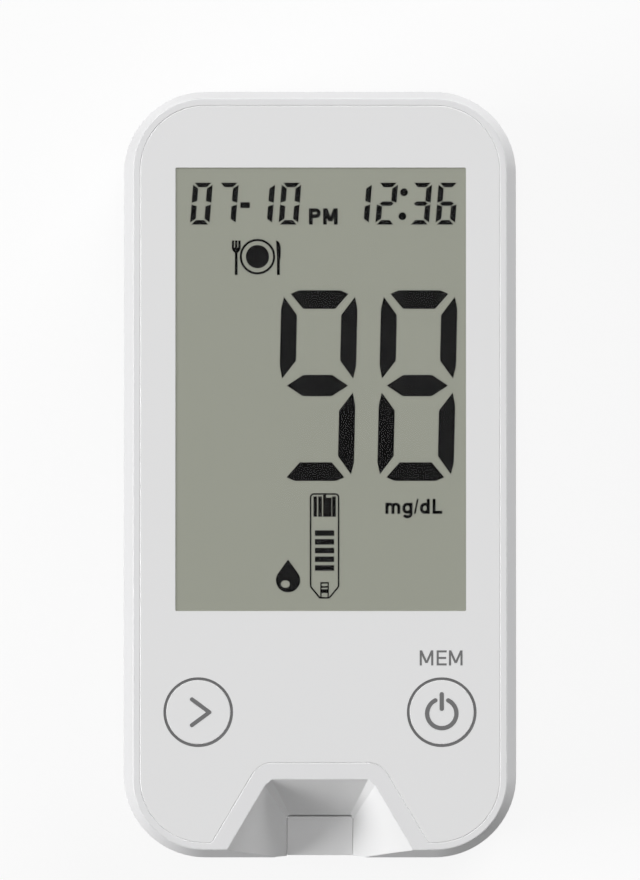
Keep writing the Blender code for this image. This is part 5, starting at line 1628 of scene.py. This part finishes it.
class METER_OT_display(MeterOperator, Operator):
    """Lens and the grey green film under it"""

    bl_idname = "meter.display"
    bl_label = "Display"

    def execute(self, context):
        edges = context.scene.meter_edges
        window = window_outline(CLOSE_GAP - edges.window_gap)
        lens = prism(window, FACE_TOP - edges.lens_thickness, FACE_TOP)
        acrylic = clear_acrylic("lens_acrylic", 0.0)
        finished("window_lens", lens, acrylic, "case", ["display_lens"])
        foot = prism(rectangle(FILM_HIGH.x, FILM_LOW.y, FILM_HIGH.y), FILM_LOW.z, FILM_HIGH.z)
        face = prism(window, FILM_HIGH.z - HAIR, display_top(context))
        film = carved("display_film", foot, *join(face))
        finished("display_film", film, display_film(), "case", ["front_polariser"])
        return {"FINISHED"}


class METER_OT_strip_guide(MeterOperator, Operator):
    """Pale guide on the floor of the strip port, its paleness painted light"""

    bl_idname = "meter.strip_guide"
    bl_label = "Strip guide"

    def execute(self, context):
        tongue = prism(
            rectangle(FLOOR_CORNER_X - GUIDE_SIDE_GAP, GUIDE_END_Y, GUIDE_STEP_Y, GUIDE_EDGE * 2),
            BLOCK_BOTTOM, PORT_FLOOR, 0.0, GUIDE_EDGE,
        )
        root_outline = rectangle(GUIDE_HIGH.x, GUIDE_STEP_Y - SINK, GUIDE_HIGH.y)
        root = prism(root_outline, BLOCK_BOTTOM + HAIR, PORT_FLOOR - GUIDE_RELIEF)
        mesh = carved("port_guide", tongue, *join(root))
        finished("port_guide", mesh, guide_plastic(), "case", ["strip_guide"])
        return {"FINISHED"}


class METER_OT_face_marks(MeterOperator, Operator):
    """Printed arrow, power sign and the word over the right key"""

    bl_idname = "meter.face_marks"
    bl_label = "Face marks"

    def execute(self, context):
        marks = context.scene.meter_print
        low, high = FACE_TOP - HAIR / 2, FACE
        x, y = KEY_PLACES["left"]
        tip = (x + ARROW_TIP, y)
        tails = [(x - ARROW_TAIL, y + side * ARROW_HALF_HEIGHT) for side in (1, -1)]
        arrow = [stroke((tail, tip), marks.arrow_stroke, True) for tail in tails]
        finished("arrow_mark", inlay(arrow, low, high), print_ink(), "left_button")
        x, y = KEY_PLACES["right"]
        y -= POWER_RING_DROP
        start = 90 + POWER_GAP_DEGREES / 2
        path = arc((x, y), POWER_RADIUS, start, 540 - start, ROUND_STEPS)
        middle = len(path) // 2
        ring = [stroke(half, marks.power_stroke, True) for half in (path[:middle + 1], path[middle:])]
        half_width, mast_low, mast_high = marks.power_stroke / 2, y + POWER_BAR_LOW, y + POWER_BAR_HIGH
        mast = rectangle(half_width, mast_low, mast_high, POWER_BAR_CORNER) + (x, 0)
        finished("power_mark", inlay([*ring, mast], low, high), print_ink(), "right_button")
        m = capital_m(WORD_M_WIDTH, WORD_CAP, WORD_LINE, WORD_CAP * WORD_M_DIP)
        e = capital_e(WORD_E_WIDTH, WORD_CAP, WORD_LINE)
        word = spelled([(m, WORD_X), (e, WORD_X + WORD_E_STEP), (m, WORD_X + WORD_M_STEP)], WORD_Y)
        finished("word_mark", inlay(word, low, high), print_ink(), "case")
        return {"FINISHED"}


class METER_OT_display_marks(MeterOperator, Operator):
    """Switched-on figures, letters and signs of the display"""

    bl_idname = "meter.display_marks"
    bl_label = "Display marks"

    def execute(self, context):
        low = display_top(context) - HAIR
        high = low + context.scene.meter_print.segment_height
        signs = {
            "date_and_time": date_and_time, "value": value_figures, "afternoon": afternoon,
            "unit": unit_letters, "meal_sign": meal_sign, "drop_sign": drop_sign, "strip_sign": strip_sign,
        }
        for name, drawn in signs.items():
            holes = drop_light() if drawn is drop_sign else ()
            finished(name, inlay(drawn(), low, high, holes), segment_black(), "case")
        return {"FINISHED"}


class METER_OT_rear_cover(MeterOperator, Operator):
    """Back of the case: wall, battery well, bosses, posts, scoop, label recess and sound holes"""

    bl_idname = "meter.rear_cover"
    bl_label = "Rear cover"

    def execute(self, context):
        outline = case_outline()
        inside, lip_top = BACK_THICKNESS - SINK, PARTING + LIP_HEIGHT
        parting_edge = rounded_head(0, PARTING, MOULD_EDGE, inward=1)
        body = loft(risen(outline, np.concatenate([rear_section(), parting_edge])))
        lip = prism(parallel(outline, -LIP_INSET), PARTING - SINK, lip_top, 0.0, MOULD_EDGE)
        inner_wall = [(WALL, PARTING), (WALL, PARTING + MERGE)]
        hollow = loft(risen(outline, np.concatenate([rear_section(BACK_THICKNESS, WALL), inner_wall])))
        lip_hollow = prism(parallel(outline, -LIP_INSET - LIP_THICKNESS), PARTING - SINK, lip_top + OVERRUN)
        well_half = DOOR_HALF_WIDTH + SIDE_GAP + WELL_SIDE_WALL
        well_start = DOOR_START_Y - SIDE_GAP - WELL_END_WALL
        well_end = DOOR_END_Y + SIDE_GAP + SCOOP_LENGTH
        well = blocks(((-well_half, well_start, inside), (well_half, well_end, WELL_TOP)))
        bosses = rods(SCREW_PLACES, REAR_BOSS_RADIUS, inside, REAR_BOSS_TOP)
        post_places = [(x, y) for x in (-POST_X, POST_X) for y in (-POST_Y, POST_Y)]
        posts = rods(post_places, POST_RADIUS, inside, BOARD_BOTTOM - GAP)
        pedestal_half, pedestal_end = GUIDE_HIGH.x - CLOSE_GAP * 2, FUNNEL_BACK_Y + FUNNEL_WALL
        pedestal = blocks(
            ((-pedestal_half, WALL + REAR_LEAN + SINK - HALF_LENGTH, inside),
             (pedestal_half, pedestal_end, BACK_EDGE_RADIUS + SINK)),
            ((-pedestal_half, REAR_LEAN + SINK - HALF_LENGTH, BACK_EDGE_RADIUS),
             (pedestal_half, pedestal_end - HAIR, BLOCK_BOTTOM - GAP)),
        )
        notch_heights = [BLOCK_BOTTOM - GAP, *np.linspace(PORT_FLOOR, lip_top + OVERRUN, FUNNEL_STEPS)]
        notch = loft([port_ring(height, FUNNEL_WALL + GAP) for height in notch_heights])
        recess_outline = rectangle(
            DOOR_HALF_WIDTH + SIDE_GAP, DOOR_START_Y - SIDE_GAP, DOOR_END_Y + SIDE_GAP, DOOR_CORNER + SIDE_GAP
        )
        recess = sunk(recess_outline, RECESS_TOP, MOULD_EDGE)
        cell_places = [(0, y) for y in CELL_PLACES]
        pockets = rods(cell_places, POCKET_RADIUS, RECESS_TOP - SINK, POCKET_TOP, ROUND_STEPS)
        slots_end = min(CELL_PLACES) - CELL_RADIUS / 2
        slots = hooks(SIDE_GAP, well_start - OVERRUN, slots_end, HOOK_BOTTOM - GAP, HOOK_TOP + 2 * GAP)
        scoop = lying(
            (0, DOOR_END_Y + SIDE_GAP, FINGER_DEPTH - FINGER_RADIUS), FINGER_RADIUS, FINGER_HALF_WIDTH,
            FINGER_DEPTH / 2,
        )
        label_outline = rectangle(
            LABEL_HALF_WIDTH, LABEL_TO_END - HALF_LENGTH, DOOR_START_Y - LABEL_TO_DOOR, LABEL_CORNER
        )
        label = sunk(label_outline, LABEL_DEPTH, LABEL_DEPTH / 2)
        sound_y = DOOR_START_Y - SOUND_HOLES_TO_DOOR
        sound_holes = together(
            sunk(circle((x, sound_y), SOUND_HOLE_RADIUS, SMALL_STEPS), BACK_THICKNESS + OVERRUN, MOULD_EDGE)
            for x in (-SOUND_HOLE_PITCH, 0, SOUND_HOLE_PITCH)
        )
        counterbores = together(
            sunk(circle(place, SCREW_HEAD_RADIUS + GAP), SCREW_SEAT, MOULD_EDGE) for place in SCREW_PLACES
        )
        shanks = rods(SCREW_PLACES, SCREW_SHANK_RADIUS + GAP, SCREW_SEAT - SINK, REAR_BOSS_TOP + OVERRUN)
        mesh = carved(
            "rear_shell", body, *join(lip), *cut(hollow, lip_hollow), *join(well, bosses, posts, pedestal),
            *cut(notch, recess, pockets, slots, contact_slots(), scoop, label, sound_holes),
            *cut(counterbores, shanks),
        )
        finished("rear_shell", mesh, case_plastic(), "case", ["rear_cover"])
        return {"FINISHED"}


class METER_OT_battery_door(MeterOperator, Operator):
    """Door over the coin cells, with its pads, hooks and finger grips"""

    bl_idname = "meter.battery_door"
    bl_label = "Battery door"

    def execute(self, context):
        edge = context.scene.meter_edges.door_edge
        outline = rectangle(DOOR_HALF_WIDTH, DOOR_START_Y, DOOR_END_Y, DOOR_CORNER)
        door = prism(outline, DOOR_LOW.z, DOOR_TOP, edge, MOULD_EDGE)
        pad = [
            (PAD_RADIUS, DOOR_TOP - SINK), (PAD_RADIUS, RECESS_TOP - MOULD_EDGE),
            (PAD_RADIUS - MOULD_EDGE, RECESS_TOP),
        ]
        pads = together(turned((0, y), pad) for y in CELL_PLACES)
        riser_y = DOOR_START_Y + HOOK_RISER_OFFSET
        risers = hooks(0, riser_y, riser_y + HOOK_RISER_LENGTH, DOOR_TOP - SINK, HOOK_TOP)
        tongue_end = riser_y + HOOK_RISER_LENGTH / 2
        tongues = hooks(-HOOK_STEP, DOOR_LOW.y, tongue_end, HOOK_BOTTOM, HOOK_TOP - HOOK_STEP)
        first, groove = DOOR_END_Y - GRIP_TO_END - GRIP_WIDTH / 2, GRIP_WIDTH / 2
        grips = together(
            lying((0, first - number * GRIP_PITCH, DOOR_LOW.z), groove, GRIP_HALF_LENGTH, groove - HAIR)
            for number in range(GRIP_COUNT)
        )
        top = first + GRIP_PITCH + groove
        arrow = filleted(((-ARROW_HALF, top), (ARROW_HALF, top), (0, top + ARROW_HALF)), MARK_CORNER)
        arrow_cut = prism(arrow, DOOR_LOW.z - OVERRUN, DOOR_LOW.z + MARK_DEPTH)
        mesh = carved("door_panel", door, *join(pads, risers, tongues), *cut(grips, arrow_cut))
        finished("door_panel", mesh, case_plastic(), "battery_door", ["battery_door"])
        return {"FINISHED"}


class METER_OT_coin_cells(MeterOperator, Operator):
    """Two coin cells with their pressed signs"""

    bl_idname = "meter.coin_cells"
    bl_label = "Coin cells"

    def execute(self, context):
        bottom, top = CELL_LOW.z, CELL_HIGH.z
        can_top, cap = top - CELL_CAP_HEIGHT, CELL_RADIUS - CELL_CAP_INSET
        face = CELL_RADIUS - CELL_CAP_INSET / 2
        profile = np.concatenate([
            [(face - MARK_DEPTH, bottom + MARK_DEPTH / 2), (face, bottom)],
            rounded_foot(CELL_RADIUS, bottom, CELL_EDGE), rounded_head(CELL_RADIUS, can_top, CELL_EDGE),
            [(cap, can_top), (cap, top - MARK_DEPTH), (cap - MARK_DEPTH, top)],
        ])
        plus = [
            bar(-PLUS_HALF, -PLUS_LINE / 2, PLUS_HALF, PLUS_LINE / 2),
            bar(-PLUS_LINE / 2, -PLUS_HALF, PLUS_LINE / 2, PLUS_HALF),
        ]
        letters = moved(figure_three(CELL_THREE_WIDTH, CELL_LETTER, CELL_LINE), CELL_THREE_X, 0, -1)
        letters += moved([v_outline(CELL_V_WIDTH, CELL_LETTER, 0, CELL_LINE)], CELL_V_X, 0, -1)
        for number, y in enumerate(CELL_PLACES, start=1):
            marks = moved(plus, 0, y + PLUS_SHIFT) + moved(letters, 0, y - PLUS_SHIFT)
            cutter = inlay(marks, bottom - OVERRUN, bottom + MARK_DEPTH)
            mesh = carved("cell", turned((0, y), profile), *cut(cutter))
            finished(f"cell_{number}", mesh, cell_steel(), "case", [f"coin_cell_{number}"])
        return {"FINISHED"}


class METER_OT_case_screws(MeterOperator, Operator):
    """Four screws with threads and cross recesses"""

    bl_idname = "meter.case_screws"
    bl_label = "Case screws"

    def execute(self, context):
        for number, place in enumerate(SCREW_PLACES, start=1):
            mesh = carved("screw", screw_form(place), *cut(*cross_recess(place)))
            finished(f"screw_{number}", mesh, zinc_steel(), "case", [f"case_screw_{number}"])
        return {"FINISHED"}


class METER_OT_inner_finishes(MeterOperator, Operator):
    """Finishes of the solid parts inside the case"""

    bl_idname = "meter.inner_finishes"
    bl_label = "Inner finishes"

    def execute(self, context):
        parts = {
            display_film: ["rear_polariser"], display_glass: ["lcd_front_glass", "lcd_rear_glass"],
            frame_plastic: ["lcd_frame"], grey_rubber: ["zebra_strip"], circuit_board: ["main_board"],
            chip_epoxy: ["controller_chip", "memory_chip", "measuring_chip", "buzzer"],
            zinc_steel: ["clock_crystal"], connector_plastic: ["strip_connector"],
            gold_plating: [f"strip_contact_{number}" for number in range(1, 6)],
            nickel: [f"{pole}_contact_{number}" for pole in ("positive", "negative") for number in (1, 2)],
        }
        for finish, names in parts.items():
            for name in names:
                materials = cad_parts[name].data.materials
                materials.clear()
                materials.append(finish())
        return {"FINISHED"}


class METER_OT_stage(MeterOperator, Operator):
    """Floor, lamps, even light and the camera"""

    bl_idname = "meter.stage"
    bl_label = "Stage"

    def execute(self, context):
        studio = context.scene.meter_studio
        add_floor()
        add_world(studio.world)
        for side, direction in LAMP_DIRECTIONS.items():
            add_lamp(f"{side}_lamp", direction, getattr(studio, f"{side}_energy"))
        add_camera(studio.camera_distance, studio.camera_tilt, studio.aim_y, studio.view_height)
        context.scene.view_settings.view_transform = "Standard"
        return {"FINISHED"}


# Stage


def background_rays(tree):
    """One for rays that see the background: from the camera, a reflection or through glass."""
    rays = add_node(tree, "ShaderNodeLightPath").outputs
    seen = worked(tree, "MAXIMUM", rays["Is Camera Ray"], rays["Is Glossy Ray"])
    seen = worked(tree, "MAXIMUM", seen, rays["Is Transmission Ray"])
    return worked(tree, "MULTIPLY", seen, worked(tree, "LESS_THAN", rays["Diffuse Depth"], 1.0))


def floor_material():
    """White to rays that see it and grey to the rest, so that it looks white and keeps a soft shadow.

    It is clear from below, and for light also under the flat of the back, so that light
    from below reaches the back and nothing else.
    """
    material, tree, shader = new_material("floor")
    seen = background_rays(tree)
    dull, bright = ((grey, grey, grey, 1) for grey in (FLOOR_GREY, FLOOR_WHITE))
    for socket, value in (
        ("Base Color", mixed(tree, seen, dull, bright)), ("Roughness", FLOOR_ROUGHNESS),
        ("Specular IOR Level", 0.0),
    ):
        feed(tree, shader.inputs[socket], value)
    glow = add_node(tree, "ShaderNodeEmission").outputs["Emission"]
    share = worked(tree, "MULTIPLY", seen, FLOOR_GLOW_SHARE)
    pale = blended(tree, share, shader.outputs["BSDF"], glow)
    x, y, _ = split(tree, object_place(tree))
    across, along = worked(tree, "ABSOLUTE", x), worked(tree, "ABSOLUTE", y)
    camera_ray = add_node(tree, "ShaderNodeLightPath").outputs["Is Camera Ray"]
    under_meter = masked(tree, ranged(tree, camera_ray, 0.0, 1.0, 1.0, 0.0), [
        (distance, half + FOOT_BLEND, half) for distance, half in (
            (across, FOOT_HALF_WIDTH), (along, FOOT_HALF_LENGTH),
            (worked(tree, "ADD", across, along), FOOT_CORNER),
        )
    ])
    below = add_node(tree, "ShaderNodeNewGeometry").outputs["Backfacing"]
    clear = add_node(tree, "ShaderNodeBsdfTransparent").outputs["BSDF"]
    shown = blended(tree, worked(tree, "MAXIMUM", below, under_meter), pale, clear)
    feed(tree, tree.nodes["Material Output"].inputs["Surface"], shown)
    return material


def add_floor():
    """A flat floor just under the meter."""
    outline = rectangle(FLOOR_HALF, -FLOOR_HALF, FLOOR_HALF)
    mesh = mesh_of("floor", (level(outline, -FLOOR_DROP), [list(range(len(outline)))]))
    floor = bpy.data.objects.new("floor", mesh)
    bpy.context.scene.collection.objects.link(floor)
    mesh.materials.append(floor_material())


def add_world(strength):
    """Even light from all round, seen as white behind the floor."""
    world = bpy.data.worlds.new("studio")
    bpy.context.scene.world = world
    world.use_nodes = True
    tree = world.node_tree
    light = tree.nodes["Background"]
    height = split(tree, add_node(tree, "ShaderNodeTexCoord").outputs["Generated"])["Z"]
    plain = ranged(tree, height, -HORIZON_BLEND, 0.0, LIGHT_FROM_BELOW, strength)
    feed(tree, light.inputs["Color"], (1, 1, 1, 1))
    feed(tree, light.inputs["Strength"], ranged(tree, background_rays(tree), 0.0, 1.0, plain, 1.0))


def add_lamp(name, direction, energy):
    """A round area lamp that looks at the meter from a direction."""
    light = bpy.data.lights.new(name, "AREA")
    light.shape = "DISK"
    light.size = LAMP_SIZE
    light.energy = energy
    lamp = bpy.data.objects.new(name, light)
    bpy.context.scene.collection.objects.link(lamp)
    aim = Vector(direction).normalized()
    lamp.location = aim * LAMP_DISTANCE
    lamp.rotation_euler = aim.to_track_quat("Z", "Y").to_euler()


def add_camera(distance, tilt, aim_y, view_height):
    """A camera that looks at a point of the long axis, tilted toward the strip port's side."""
    camera = bpy.data.cameras.new("camera")
    camera.sensor_width = SENSOR
    camera.lens = camera.sensor_width * distance / view_height
    camera.clip_start, camera.clip_end = NEAREST, FARTHEST
    holder = bpy.data.objects.new("camera", camera)
    bpy.context.scene.collection.objects.link(holder)
    holder.location = (0, aim_y - distance * math.sin(tilt), FRONT_BOTTOM + distance * math.cos(tilt))
    holder.rotation_euler = (tilt, 0, 0)
    bpy.context.scene.camera = holder


PIECES = (
    METER_OT_front_cover, METER_OT_faceplate, METER_OT_keys, METER_OT_domes, METER_OT_face_marks,
    METER_OT_display, METER_OT_display_marks, METER_OT_strip_guide, METER_OT_rear_cover,
    METER_OT_battery_door, METER_OT_coin_cells, METER_OT_case_screws, METER_OT_inner_finishes, METER_OT_stage,
)
SETTINGS = {
    "meter_edges": MeterEdges, "meter_print": MeterPrint, "meter_colours": MeterColours,
    "meter_studio": MeterStudio,
}


class METER_PT_sidebar(Panel):
    """Buttons for each piece of the meter, and the sizes and colours that they use"""

    bl_idname = "METER_PT_sidebar"
    bl_label = "Blood glucose meter"
    bl_space_type = "VIEW_3D"
    bl_region_type = "UI"
    bl_category = "Meter"

    def draw(self, context):
        for piece in PIECES:
            self.layout.operator(piece.bl_idname)
        for name, kind in SETTINGS.items():
            box = self.layout.box()
            box.label(text=kind.__doc__)
            for prop in kind.__annotations__:
                box.prop(getattr(context.scene, name), prop)


def register():
    """Make the settings, operators and panel known."""
    for kind in (*SETTINGS.values(), *PIECES, METER_PT_sidebar):
        bpy.utils.register_class(kind)
    for name, kind in SETTINGS.items():
        setattr(bpy.types.Scene, name, PointerProperty(type=kind))


def unregister():
    """Take them away again."""
    for name in SETTINGS:
        delattr(bpy.types.Scene, name)
    for kind in reversed((*SETTINGS.values(), *PIECES, METER_PT_sidebar)):
        bpy.utils.unregister_class(kind)


def main():
    """Build every piece and the stage."""
    register()
    for piece in PIECES:
        group, name = piece.bl_idname.split(".")
        getattr(getattr(bpy.ops, group), name)()


if __name__ == "__main__":
    main()
